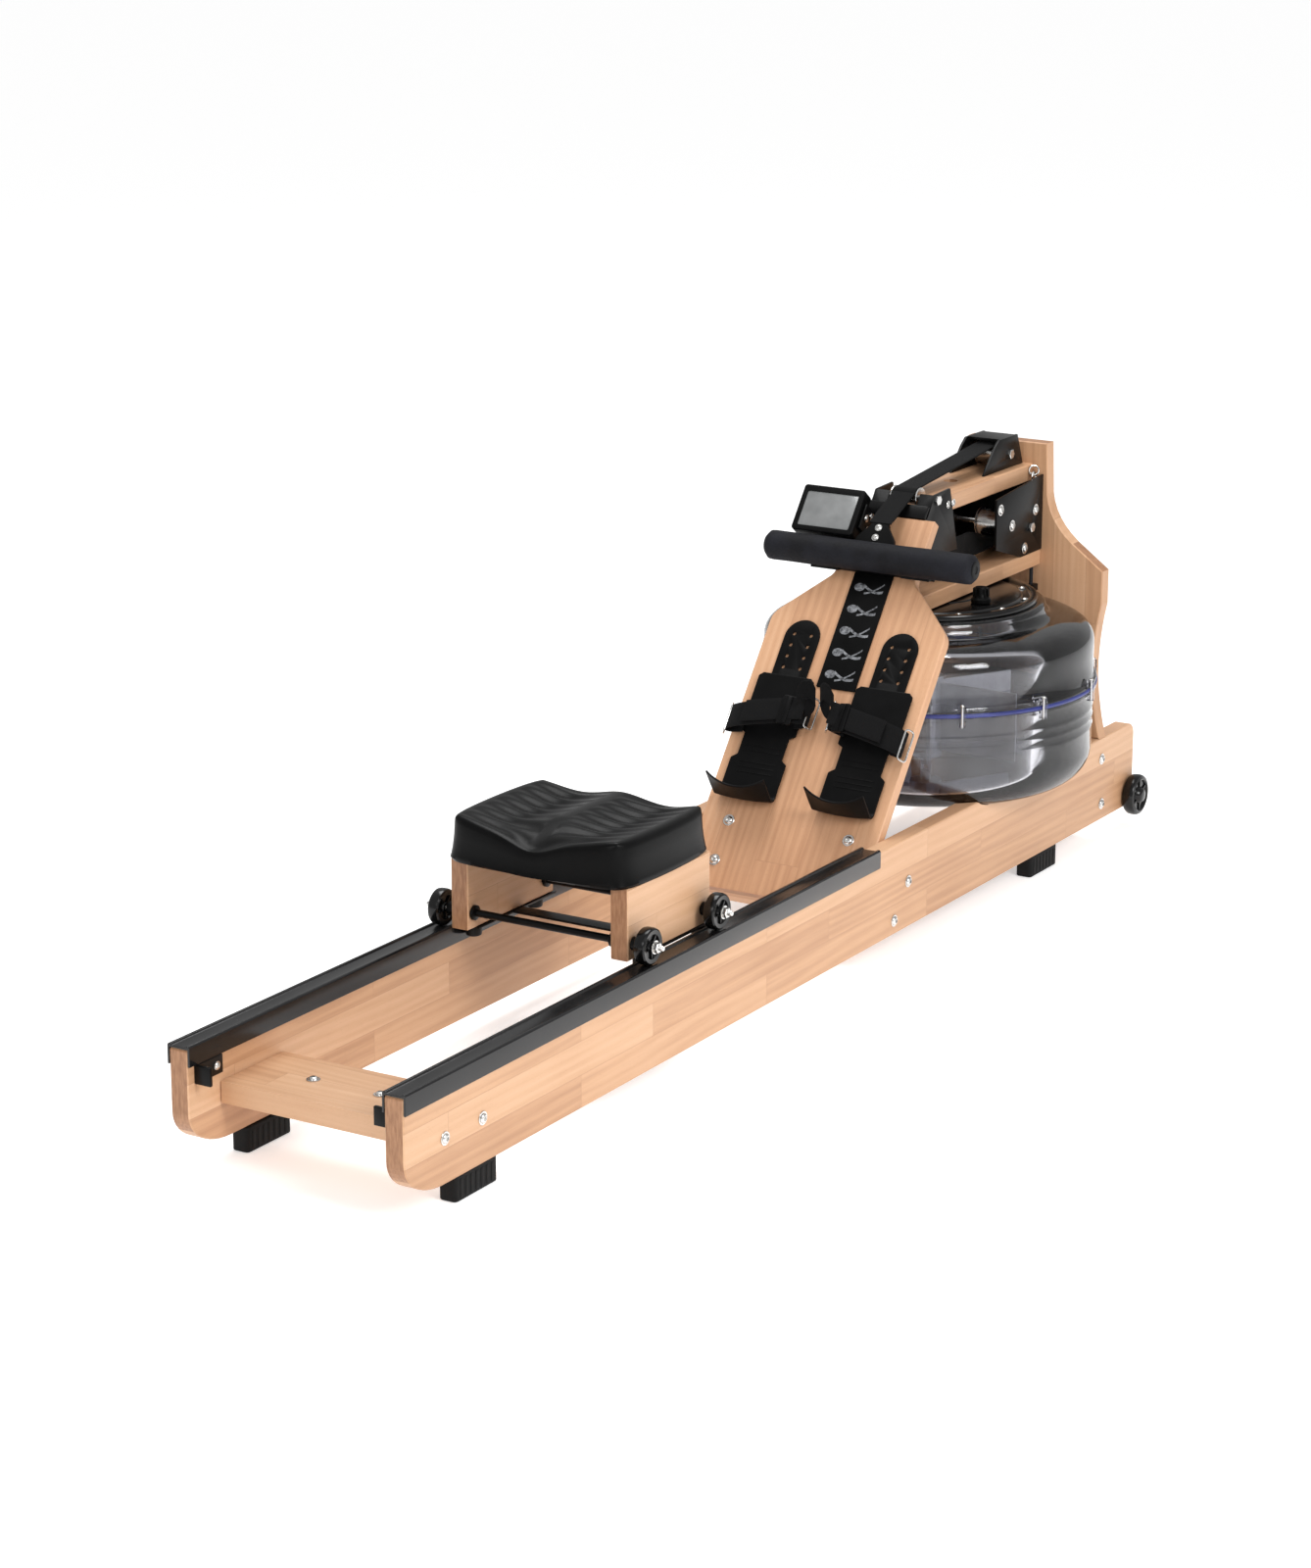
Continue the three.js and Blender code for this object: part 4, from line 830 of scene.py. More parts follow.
for end in ("rear", "front"):
    low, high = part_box(f"seat_axle_{end}")
    y, z = (low.y + high.y) / 2, (low.z + high.z) / 2
    rod = turned("rod", [(0.0042, -0.150), (0.005, -0.149), (0.005, 0.149), (0.0042, 0.150)], 24)
    bushes = [turned("bush", [(0.0075, s * 0.1368), (0.009, s * 0.1376), (0.009, s * 0.1472),
                              (0.0075, s * 0.148)], 24)
              for s in (-1, 1)]
    collars = [turned("collar", [(0.0085, s * 0.1094), (0.010, s * 0.1086), (0.010, s * 0.105),
                                 (0.0085, s * 0.104)], 24)
               for s in (-1, 1)]
    dressed(settle(joined(f"seat_rod_{end}", [rod, *bushes, *collars]), on_axis(0, y, z)), powder_coat,
            "seat",
            [f"seat_axle_{end}"])
    ends = []
    for s in (-1, 1):
        ends.append(turned("stud", [(0.0030, s * 0.150), (0.0036, s * 0.151), (0.0036, s * 0.181),
                                    (0.0028, s * 0.1826)], 20))
        nut = hexagon("nut", 0.0074, 0.0062)
        ends.append(copied(nut, "nut", Matrix.Translation((0, 0, s * 0.1735 - 0.0031))))
        bpy.data.objects.remove(nut)
        ends.append(turned("washer", [(0.0086, s * 0.1695), (0.0090, s * 0.1699), (0.0090, s * 0.1705),
                                      (0.0060, s * 0.1708)], 24))
    dressed(settle(joined(f"seat_axle_bolts_{end}", [outward(e) for e in ends]), on_axis(0, y, z)),
            bright_steel, "seat", angle=30)
print("two rods and four bright axle ends")


# %% [markdown]
# ## Wheels and rollers
# The seat's wheels are turned with a recess on each face, and then get thin ribs, because a
# flat disc never looks like a moulded wheel. Four small rollers on upright pins keep the
# seat centred between the rails. The transport wheels stand outside the rails.

# %% Wheels
def both_faces(edge):
    """A profile and its mirror image, for a wheel with two faces alike."""
    return edge + [(r, -h) for r, h in reversed(edge)]


def wheel(name, radius, width, bore, spokes=5, segments=56):
    half = width / 2
    profile = [(bore, -half + 0.0010), (0.30 * radius, -half + 0.0010), (0.36 * radius, -half + 0.0042),
               (0.60 * radius, -half + 0.0042), (0.66 * radius, -half + 0.0008), (0.88 * radius, -half),
               (0.965 * radius, -half + 0.0016), (radius, -half + 0.0046)]
    body = turned(name, both_faces(profile), segments, True)
    ribs = []
    for i in range(spokes):
        for face in (-1, 1):
            rib = block("rib", (0.31 * radius, -0.0013, face * (half - 0.0045) - 0.001),
                        (0.66 * radius, 0.0013, face * (half - 0.0045) + 0.0028), 0.0005, 2)
            ribs.append(settle(rib, Matrix.Rotation(math.tau * i / spokes, 4, "Z")))
    return joined(name, [body, *ribs])


seat_wheel = wheel("seat_wheel_model", 0.0248, 0.0165, 0.0056)
for end in ("rear", "front"):
    for side in ("right", "left"):
        node = f"seat_wheel_{end}_{side}"
        low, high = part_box(node)
        middle = (low + high) / 2
        dressed(copied(seat_wheel, f"{node}_tyre", on_axis(*middle)), gloss, node, [node])
        node = f"guide_roller_{end}_{side}"
        low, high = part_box(node)
        middle = (low + high) / 2
        half = (high.z - low.z) / 2
        edge = [(0.0035, -half), (0.0088, -half), (0.0104, -half + 0.0010), (0.0109, -half + 0.0030)]
        roller = turned(f"{node}_tyre", both_faces(edge), 32, True)
        dressed(settle(roller, Matrix.Translation(middle)), tyre, node, [node])
bpy.data.objects.remove(seat_wheel)
dressed(refined("guide_frame", "seat_guide_frame", 0.0006), powder_coat, "seat",
        ["guide_frame"], 30)

for side, sign in (("right", 1), ("left", -1)):
    node = f"transport_wheel_{side}"
    low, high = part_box(node)
    y, z = (low.y + high.y) / 2, (low.z + high.z) / 2
    radius = (high.z - low.z) / 2
    inner = rail_outer + 0.002
    rim = ((0.70, 0.0), (0.93, 0.0012), (0.985, 0.0040), (1, 0.0080), (1, 0.0120), (0.985, 0.0155),
           (0.93, 0.0183), (0.80, 0.0196), (0.74, 0.0186), (0.70, 0.0158), (0.44, 0.0158),
           (0.39, 0.0186), (0.34, 0.0214), (0.28, 0.0232), (0.12, 0.0240), (0.03, 0.0241))
    profile = [(0.004, -0.026), (0.0042, 0.0), *((radius * part, up) for part, up in rim)]
    castor = turned(f"{node}_tyre", profile, 64)
    ribs = [settle(block("rib", (radius * 0.40, -0.0015, 0.0150), (radius * 0.74, 0.0015, 0.0180), 0.0005),
                   Matrix.Rotation(math.tau * i / 6, 4, "Z")) for i in range(6)]
    castor = settle(joined(f"{node}_tyre", [castor, *ribs]), Matrix.Translation((inner, y, z)) @ ALONG_X)
    if sign < 0:
        mirrored = copied(castor, "mirrored", MIRROR)
        bpy.data.objects.remove(castor)
        castor = mirrored
        castor.name = castor.data.name = f"{node}_tyre"
    dressed(castor, gloss, node, [node])
print("wheels and rollers")

# %% [markdown]
# ## Footboard fittings
# Each foot plate is one sheet of moulded plastic: flat under the sole, waisted, then swept
# up into a heel cup whose rim dips in the middle. We follow its section with a grid, so the
# bend is smooth, and thicken the sheet afterwards.

# %% Foot plates
FOOT_SPREAD, PLATE_OUT = 0.081, 0.0051


def ease_between(value, start, end):
    t = min(1.0, max(0.0, (value - start) / (end - start)))
    return t * t * (3 - 2 * t)


def heel_point(u, v):
    """A point of the foot plate: u across, v from its top edge down and round into the cup."""
    across = 2 * u - 1
    top, flat, bend, radius = 0.228, 0.1885, 0.0165, 0.0105
    wall = 0.036 + 0.006 * across * across
    run = v * (flat + bend + wall)
    if run < flat:
        s, out = top - run, PLATE_OUT
    elif run < flat + bend:
        angle = (run - flat) / radius
        s, out = top - flat - radius * math.sin(angle), PLATE_OUT + radius * (1 - math.cos(angle))
    else:
        rise = run - flat - bend
        s = top - flat - radius + rise * (0.12 + 0.26 * across * across)
        out = PLATE_OUT + radius + rise * 0.97
    waist = ease_between(run, 0.0925, 0.0975) - ease_between(run, 0.131, 0.139)
    top_corner = 1 - ease_between(run, 0.0, 0.006)
    half = 0.046 - 0.009 * waist - 0.006 * top_corner + 0.002 * ease_between(run, 0.17, 0.225)
    s -= 0.0030 * ease_between(run, 0.150, 0.200) * (1 - across * across)
    return (across * half, s, out)


def foot_plate(name):
    plate_sheet = surface(name, 36, 120, heel_point, 0.0030)
    ridges = [block("ridge", (-0.030, s - 0.0008, PLATE_OUT + 0.0012),
                    (0.030, s + 0.0008, PLATE_OUT + 0.0021), 0.0004)
              for s in (0.070, 0.078, 0.086, 0.104, 0.112)]
    return joined(name, [eased(plate_sheet, 0.0007, 2, 50), *ridges])


for side, sign in (("right", 1), ("left", -1)):
    sheet = settle(foot_plate(f"foot_plate_{side}"), lean @ Matrix.Translation((sign * FOOT_SPREAD, 0, 0)))
    dressed(sheet, plastic, f"heel_{side}", [f"heel_support_{side}"], 40)
    dressed(refined(f"foot_track_{side}", f"foot_slide_{side}", 0.0005), plastic, "frame",
            [f"foot_track_{side}"], 30)
print("two foot plates")

# %% [markdown]
# ## Bands and wires
# Straps and wire rings follow a path. The path is drawn through a few points with a smooth
# spline worked out in Python. A strap is a grid laid along the path and thickened, and its
# UV map is scaled to metres, so the weave has its real size.

# %% Paths, bands and wires
def spline(points, steps=8, closed=False):
    """Catmull-Rom points through the given ones."""
    points = [Vector(p) for p in points]
    count = len(points)
    made = []
    for i in range(count if closed else count - 1):
        if closed:
            a, b, c, d = (points[(i + k) % count] for k in (-1, 0, 1, 2))
        else:
            a, b, c, d = (points[min(max(i + k, 0), count - 1)] for k in (-1, 0, 1, 2))
        for step in range(steps):
            t = step / steps
            made.append(0.5 * (2 * b + (c - a) * t + (2 * a - 5 * b + 4 * c - d) * t * t
                               + (3 * b - a - 3 * c + d) * t ** 3))
    return made if closed else made + [points[-1]]


def band(name, path, width, thick, across=(0, 1, 0), edge=0.0003):
    """A flat strap along a path. across is its width's direction, one for all or one a point."""
    each = across if isinstance(across[0], (tuple, Vector)) else [across] * len(path)
    lengths = [0.0]
    for a, b in zip(path, path[1:]):
        lengths.append(lengths[-1] + (b - a).length)

    def place(u, v):
        at = min(int(round(v * (len(path) - 1))), len(path) - 1)
        side = Vector(each[at]).normalized()
        return path[at] + side * ((u - 0.5) * width)

    strap = surface(name, 6, len(path) - 1, place, thick, 0.0, (width, lengths[-1]))
    return eased(strap, edge, 2, 60)


def wire(name, path, radius, sides=10, closed=False):
    """A round wire along a path, made with a curve's bevel and turned into a mesh."""
    curve = bpy.data.curves.new(name, "CURVE")
    curve.dimensions, curve.bevel_depth, curve.bevel_resolution = "3D", radius, sides // 4
    curve.use_fill_caps = True
    line = curve.splines.new("POLY")
    line.points.add(len(path) - 1)
    for point, place in zip(line.points, path):
        point.co = (*place, 1)
    line.use_cyclic_u = closed
    piece = bpy.data.objects.new(name, curve)
    bpy.context.scene.collection.objects.link(piece)
    only(piece)
    bpy.ops.object.convert(target="MESH")
    return outward(begun(name))


# %% [markdown]
# ## Foot straps
# A strap goes over each instep between two steel rings. A flap is sewn on top of it, a
# buckle sits on the flap, and the loose end curls over. The two straps lean opposite ways.

# %% Foot straps with their rings and buckles
STRAP_ALONG = 0.157
strap_half = [(0.0, 0, 0.0325), (0.026, 0, 0.0315), (0.048, 0, 0.0280), (0.0605, 0, 0.0220),
              (0.0625, 0, 0.0140), (0.053, 0, 0.0092), (0.040, 0, 0.0088)]
strap_path = spline([(-x, 0, z) for x, _, z in strap_half[:0:-1]] + strap_half, 7)


def leaning_strap(side, sign, slope):
    """The strap over one instep, its sewn flap, and the loose loop at its inner end."""
    path = [p + Vector((0, slope * p.x, 0)) for p in strap_path]
    main = band(f"instep_strap_{side}", path, 0.038, 0.0022)
    toward = -sign
    tail = []
    for i in range(22):
        x = -0.034 + 0.0045 * i
        droop = 0.8 * (x + 0.004) ** 2 * (1 if x > 0 else 0.5)
        tail.append(Vector((toward * x, slope * toward * x + 0.002, 0.0361 - droop)))
    flap = band("flap", tail, 0.034, 0.0018)
    curl = [(0, 0, 0), (0.010, 0.006, 0.001), (0.016, 0.016, 0.010), (0.010, 0.022, 0.020),
            (-0.002, 0.018, 0.022), (-0.010, 0.008, 0.014)]
    loop = spline([tail[-1] + Vector((toward * x, y, z)) for x, y, z in curl], 6)
    loose = band("loop", loop, 0.026, 0.0016, (0, 0.8, 0.6))
    strap = joined(f"instep_strap_{side}", [main, flap, loose])
    return settle(strap, lean @ Matrix.Translation((sign * FOOT_SPREAD, STRAP_ALONG, 0)))


for side, sign, slope in (("right", 1, -0.20), ("left", -1, 0.20)):
    strap = dressed(leaning_strap(side, sign, slope), webbing, f"heel_{side}",
                    [f"foot_strap_{side}"], 50)
    rings = []
    for end in (-1, 1):
        corners = rounded(-0.0075, -0.0235, 0.0075, 0.0235, 0.005, 4)
        ring = wire("ring", [Vector((a, b, 0)) for a, b in corners], 0.0014, 12, True)
        tilt = Matrix.Rotation(math.radians(end * 62), 4, "Y")
        rings.append(settle(ring, Matrix.Translation((end * 0.0655, slope * end * 0.0655, 0.0165)) @ tilt))
    rings = settle(joined(f"strap_rings_{side}", rings),
                   lean @ Matrix.Translation((sign * FOOT_SPREAD, STRAP_ALONG, 0)))
    dressed(rings, bright_steel, f"heel_{side}")
    buckle = plate("buckle", rounded(-0.011, -0.0225, 0.011, 0.0225, 0.004), 0.0, 0.0045, 0.0012, 3)
    bar = block("bar", (-0.0035, -0.021, 0.0035), (0.0035, 0.021, 0.0062), 0.001)
    x = 0.034 if side == "left" else -0.038
    tilt = Matrix.Rotation(math.radians(14 if x > 0 else -14), 4, "Y")
    on_strap = Matrix.Translation((sign * FOOT_SPREAD + x, STRAP_ALONG + slope * x, 0.0318))
    buckle = settle(joined(f"strap_buckle_{side}", [buckle, bar]), lean @ on_strap @ tilt)
    dressed(buckle, plastic, f"heel_{side}")
print("instep straps, rings and buckles")

# %% [markdown]
# ## Panel on the footboard
# The middle of the footboard carries a black panel with a row of pale motifs. They are
# made generic here: five groups of sweeping strokes in low relief.

# %% Panel and its relief
panel_start, panel_end = 0.219, 0.4067
panel = plate("footboard_panel", rounded(-0.032, panel_start, 0.032, panel_end, 0.0015, 2), 0.0003, 0.0027,
              0.0008)
dressed(settle(panel, lean), plastic, "frame", ["footboard_insert"])
strokes = []
for row in range(5):
    s = panel_start + 0.022 + row * 0.0355
    disc = plate("disc", [(-0.016 + 0.0085 * math.cos(a), s + 0.0065 * math.sin(a))
                          for a in [math.tau * i / 24 for i in range(24)]], 0.0025, 0.0031, 0.0002)
    rising = [Vector((-0.010 + 0.0012 * i, s + 0.004 - 0.010 * math.sin(i / 28 * 2.2), 0.0029))
              for i in range(29)]
    falling = [Vector((-0.006 + 0.0011 * i, s - 0.009 + 0.017 * (i / 26) ** 1.6, 0.0029))
               for i in range(27)]
    sweep_a = band("sweep", rising, 0.0042, 0.0005, edge=0.0001)
    sweep_b = band("sweep", falling, 0.0030, 0.0005, edge=0.0001)
    strokes += [disc, sweep_a, sweep_b]
pale = Finish("panel_relief", Specular_IOR_Level=0.5)
mottle = pale.noise(pale.place(), 190.0, 4.0, 0.7)
pale.wear(Base_Color=pale.ramp(mottle, (0.36, (0.028, 0.029, 0.033)), (0.66, (0.27, 0.28, 0.30))),
          Roughness=mottle * 0.3 + 0.3, Normal=pale.bump(mottle, 0.0003, 0.6))
dressed(settle(joined("footboard_motifs", strokes), lean), pale.material, "frame")
print("panel with five motifs")

# %% [markdown]
# ## Handle
# The handle is a steel bar in closed-cell foam. The foam swells a little between the hands
# and its ends are rounded over plastic plugs. A flat yoke joins it to the strap, and the
# handle lies in two cradles.

# %% Grip, yoke and rest
grip_place = lean @ Matrix.Translation((0, 0.421, 0.030)) @ ALONG_X
grip_half, grip_profile = 0.171, []
for i in range(61):
    h = -grip_half + 2 * grip_half * i / 60
    edge = min(1.0, (grip_half - abs(h)) / 0.010)
    r = 0.0155 + 0.0064 * math.sqrt(max(0.0, 1 - (1 - edge) ** 2))
    grip_profile.append((r - 0.0005 * bell(h, 0.012) + 0.0002 * math.cos(h * 70), h))
grip = settle(turned("foam_grip", grip_profile, 48), grip_place)
dressed(grip, foam, "handle", ["handle_grip"], 50)
plug_profile = [(0.0128, 0.1700), (0.0128, 0.1716), (0.0110, 0.1722), (0.006, 0.1720), (0.0052, 0.1712)]
plugs = [turned("plug", [(r, s * h) for r, h in plug_profile], 32) for s in (-1, 1)]
dressed(settle(joined("handle_end_plugs", plugs), grip_place), plastic, "handle")
dressed(refined("handle_yoke", "strap_yoke", 0.0012, 3), plastic, "handle",
        ["handle_yoke"], 40)
screws("yoke_screws", [(lean @ Vector((0, s, 0.034)), out_of_board) for s in (0.4665, 0.4505)], small_screw,
       "handle")
dressed(refined("handle_rest", "handle_cradles", 0.0010, 3), plastic, "frame",
        ["handle_rest"], 40)
face = block("face", (-0.0496, 0.5036, -0.0030), (0.0496, 0.5250, 0.0016), 0.0014, 3)
lip = block("lip", (-0.0496, 0.5036, -0.0085), (0.0496, 0.5066, 0.0010), 0.0008, 2)
face = settle(joined("roller_bracket_face", [face, lip]), lean)
dressed(face, powder_coat, "frame")
print("handle and the front face of its bracket")

# %% [markdown]
# ## Strap over the rollers
# The strap leaves the yoke, passes over the front roller and the top pulley, drops to the
# lower pulley, turns a quarter and winds onto the drum. The stretch between yoke and roller
# lengthens as the handle moves, so that stretch is its own piece.

# %% Strap path
def wrap(centre, radius, start, end, steps):
    """Strap points round a pulley, a little out from its rim, angles in degrees."""
    y, z = from_rear(*centre)
    reach = radius + 0.0013
    made = []
    for i in range(steps + 1):
        a = math.radians(start + (end - start) * i / steps)
        made.append(Vector((0, y + reach * math.cos(a), z + reach * math.sin(a))))
    return made


def filled(points, pitch=0.006):
    """The same path with long straights divided."""
    made = [points[0]]
    for a, b in zip(points, points[1:]):
        parts = max(1, math.ceil((b - a).length / pitch))
        made += [a.lerp(b, k / parts) for k in range(1, parts + 1)]
    return made


front_roller, top_pulley, lower_pulley = (1.545, 0.555), (1.822, 0.577), (1.830, 0.465)
route = filled(wrap(front_roller, 0.013, 142, 95, 6) + wrap(top_pulley, 0.017, 95, -2, 12)
               + wrap(lower_pulley, 0.020, -2, -98, 12))
sides = [Vector((1, 0, 0))] * len(route)
leave = route[-1]
drum = Vector((0, tank_y, rail_bottom + 0.463))
reach = 0.030 + 0.0013
touch = math.asin(reach / (leave.y - tank_y))
arrival = drum + Vector((math.cos(touch), math.sin(touch), 0)) * reach
for i in range(1, 31):
    turn = min(i / 30 / 0.7, 1) * math.pi / 2
    route.append(leave.lerp(arrival, i / 30))
    sides.append(Vector((math.cos(turn), 0, -math.sin(turn))))
for i in range(1, 41):
    a = touch - i / 40 * math.pi * 1.5
    route.append(drum + Vector((math.cos(a), math.sin(a), 0)) * reach)
    sides.append(Vector((0, 0, -1)))
drive = band("drive_webbing", route, 0.036, 0.0020, sides)
dressed(drive, webbing, "frame", ["drive_strap"], 60)

strap_top = wrap(front_roller, 0.013, 142, 142, 1)[0]
strap_tail = lean @ Vector((0, 0.474, 0.0345))
pull = band("pull_webbing", [strap_tail.lerp(strap_top, i / 48) for i in range(49)], 0.036, 0.0020, (1, 0, 0))
smooth(pull, 60)
pull.data.materials.clear()
pull.data.materials.append(webbing)
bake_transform(pull)
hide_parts("pull_strap")
print("strap", round(sum((b - a).length for a, b in zip(route, route[1:])), 3), "m inside,",
      round((strap_top - strap_tail).length, 3), "m to the handle")

# %% [markdown]
# ## Steel brackets and pulleys
# The pressed steel brackets keep their CAD shape with eased edges. Their pulleys are turned
# afresh with rounder flanges, and axle nuts and screws dress the cheeks.

# %% Brackets
for node, name in (("roller_bracket", "front_roller_bracket"), ("pulley_housing", "top_pulley_housing"),
                   ("drive_bracket", "drive_plates"), ("monitor_bracket", "monitor_angle")):
    dressed(refined(node, name, 0.0009, 2), powder_coat, "frame", [node], 30)


def pulley(node, radius):
    low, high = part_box(node)
    middle = (low + high) / 2
    half = high.x
    side = [(0.0036, -half), (0.004, -half + 0.0005), (0.004, -0.022), (radius + 0.0022, -0.022),
            (radius + 0.003, -0.0214), (radius + 0.0028, -0.0202), (radius + 0.0004, -0.0190),
            (radius, -0.0170), (radius + 0.0004, -0.006)]
    roller = turned(node + "_wheel", side + [(r, -h) for r, h in reversed(side)], 48)
    dressed(settle(roller, on_axis(*middle)), bright_steel, node, [node])
    return middle, half


for node, radius in (("front_roller", 0.013), ("top_pulley", 0.017), ("lower_pulley", 0.020)):
    middle, half = pulley(node, radius)
    nuts = []
    for sign in (-1, 1):
        nut = hexagon("nut", 0.0078, 0.0052)
        nuts.append(settle(nut, Matrix.Translation((sign * (half - 0.0008) - 0.0026, *middle.yz)) @ ALONG_X))
    dressed(joined(f"{node}_nuts", nuts), bright_steel, "frame", angle=30)

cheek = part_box("drive_bracket")[1].x
screws("drive_plate_screws", [((sign * cheek, *from_rear(y, z)), (sign, 0, 0)) for sign in (-1, 1)
                              for y, z in ((1.725, 0.510), (1.845, 0.490), (1.765, 0.479), (1.810, 0.436))])
beam_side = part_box("roller_bracket")[1].x
screws("roller_plate_screws", [((sign * beam_side, *from_rear(y, z)), (sign, 0, 0)) for sign in (-1, 1)
                               for y, z in ((1.5050, 0.4870), (1.5950, 0.5430), (1.5780, 0.5430))],
                               small_screw)
monitor_screw_places = ((0.470, 0.012), (0.492, 0.012), (0.483, 0.0245))
screws("monitor_screws", [(lean @ Vector((-0.0305, s, out)), (1, 0, 0)) for s, out in monitor_screw_places],
       small_screw)
dressed(refined("drive_drum", "strap_drum", 0.0006), plastic, "drive_drum", ["drive_drum"],
        30)
painted(blade_steel, "paddle")
print("brackets and pulleys")

# %% [markdown]
# ## The tank
# The tank is two blow-moulded clear shells, clamped flange to flange on a blue gasket. We
# turn each shell as a closed wall, outside and inside, because a clear body shows both. The
# upper one has a round shoulder and a raised neck under a black cover. The water is its own
# body a hair inside the wall, and the paddle stands in it.

# %% Shells, gasket and water
def drilled(piece, tool):
    """Cuts a hole with another mesh, which is then removed."""
    only(piece)
    cutter = piece.modifiers.new("Hole", "BOOLEAN")
    cutter.object, cutter.operation, cutter.solver = tool, "DIFFERENCE", "EXACT"
    bpy.ops.object.modifier_apply(modifier=cutter.name)
    bpy.data.objects.remove(tool)
    return piece


def smooth_profile(points, steps=4):
    """The same profile with a spline through its points."""
    return [(p.x, p.y) for p in spline([(r, h, 0) for r, h in points], steps)]


def stepped(radius, height, *steps):
    """Profile points given as steps from one radius and height."""
    return [(radius + across, height + up) for across, up in steps]


tank_place = Matrix.Translation((0, tank_y, 0))
shell_floor, wall = tank_low.z, 0.004
lower_top = tank_high.z
corner = [(0.200 + 0.049 * math.sin(a), shell_floor + 0.050 * (1 - math.cos(a)))
          for a in [math.pi / 2 * i / 12 for i in range(13)]]
ridges = [(0.249, 0.236), (0.2498, 0.238), (0.249, 0.2405), (0.249, 0.250), (0.2498, 0.2525), (0.249, 0.255),
          (0.249, 0.2645), (0.2498, 0.267), (0.249, 0.2695)]
inner = [(0.196 + 0.049 * math.sin(a), shell_floor + wall + 0.046 * (1 - math.cos(a)))
         for a in [math.pi / 2 * i / 12 for i in range(13)]]
lower_rim = stepped(0, lower_top, (0.249, -0.0075), (0.2502, -0.0056), (0.2530, -0.0050),
                    (0.254, -0.0040), (0.254, -0.0003), (0.245, 0))
lower = turned("tank_lower", [(0.010, shell_floor), (0.090, shell_floor), *corner, *ridges, *lower_rim,
                              *reversed(inner), (0.090, shell_floor + wall),
                              (0.010, shell_floor + wall)], 112)
dressed(settle(lower, tank_place), clear_shell, "frame", ["tank_lower_shell"], 40)

upper_low, upper_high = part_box("tank_upper_shell")
base, lid = upper_low.z, upper_high.z
outside = smooth_profile(stepped(0, lid, (0.249, -0.080), (0.249, -0.0600), (0.2465, -0.0470),
                                 (0.2385, -0.0360), (0.2245, -0.0285), (0.2040, -0.0240),
                                 (0.1860, -0.0215), (0.1792, -0.0170), (0.1765, -0.0110),
                                 (0.1755, -0.0060), (0.1735, -0.0020), (0.1690, 0)))
inside = [(r - 0.0036, h - 0.0030) for r, h in outside if h < lid - 0.0020]
upper_rim = stepped(0, base, (0.245, 0), (0.254, 0.0003), (0.254, 0.0038), (0.2530, 0.0050),
                    (0.2502, 0.0056), (0.249, 0.0078))
upper = turned("tank_upper", [*upper_rim, *outside, (0.120, lid), (0.030, lid), (0.030, lid - wall),
                              (0.120, lid - wall), (0.164, lid - wall), *reversed(inside)], 112, True)
plug_low, plug_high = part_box("fill_plug")
plug_x, plug_y = (plug_low.x + plug_high.x) / 2, (plug_low.y + plug_high.y) / 2


def plug_bore():
    return turned("bore", [(0.012, lid - 0.03), (0.012, lid + 0.03)], 32)


upper = settle(upper, tank_place)
upper = drilled(upper, settle(plug_bore(), Matrix.Translation((plug_x, plug_y, 0))))
dressed(upper, clear_shell, "frame", ["tank_upper_shell"], 40)

gasket_low, gasket_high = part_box("tank_gasket")
gasket = turned("tank_seal", stepped(0, gasket_low.z, (0.2452, 0.0002), (0.2536, -0.0001),
                                     (0.2552, 0.0010), (0.2558, 0.0030))
                + stepped(0, gasket_high.z, (0.2552, -0.0010), (0.2536, 0.0001), (0.2452, -0.0002)),
                112, True)
dressed(settle(gasket, tank_place), gasket_blue, "frame", ["tank_gasket"], 50)

water_level = 0.262
water_corner = [(r - 0.0006, h + 0.0006) for r, h in inner]
water = turned("water", stepped(0, shell_floor + wall, (0.010, 0.0006), (0.090, 0.0006)) + water_corner
               + stepped(0, water_level, (0.2444, -0.002), (0.2438, -0.0004), (0.2400, -0.0010),
                         (0.120, -0.0012), (0.010, -0.0012)), 96)
dressed(settle(water, tank_place), water_body, "frame", angle=40)
print("tank", round(2 * upper_high.x, 3), "m wide, water to", water_level)

# %% [markdown]
# Twelve clear lugs with a screw each hold the flanges together. The cover on the neck is
# polished black with a raised rim and screws, and the filling plug has a finger grip.

# %% Lugs, cover and plug
lugs, lug_screws = [], []
for i in range(12):
    a = math.radians(30 * i - 81)
    turn = tank_place @ Matrix.Rotation(a, 4, "Z")
    lug = block("lug", (0.2500, -0.0044, gasket_low.z - 0.0125), (0.2610, 0.0044, gasket_high.z + 0.0125),
                0.0016, 3)
    lugs.append(settle(lug, turn))
    bolt = turned("bolt", [(0.0018, gasket_low.z - 0.0135),
                           *stepped(0, gasket_high.z, (0.0018, 0.0120), (0.0036, 0.0122),
                                    (0.0036, 0.0135), (0.0028, 0.0147), (0.0014, 0.0150))], 16)
    lug_screws.append(settle(bolt, turn @ Matrix.Translation((0.2562, 0, 0))))
dressed(joined("tank_lugs", lugs), clear_clip, "frame")
dressed(joined("tank_lug_screws", lug_screws), bright_steel, "frame")

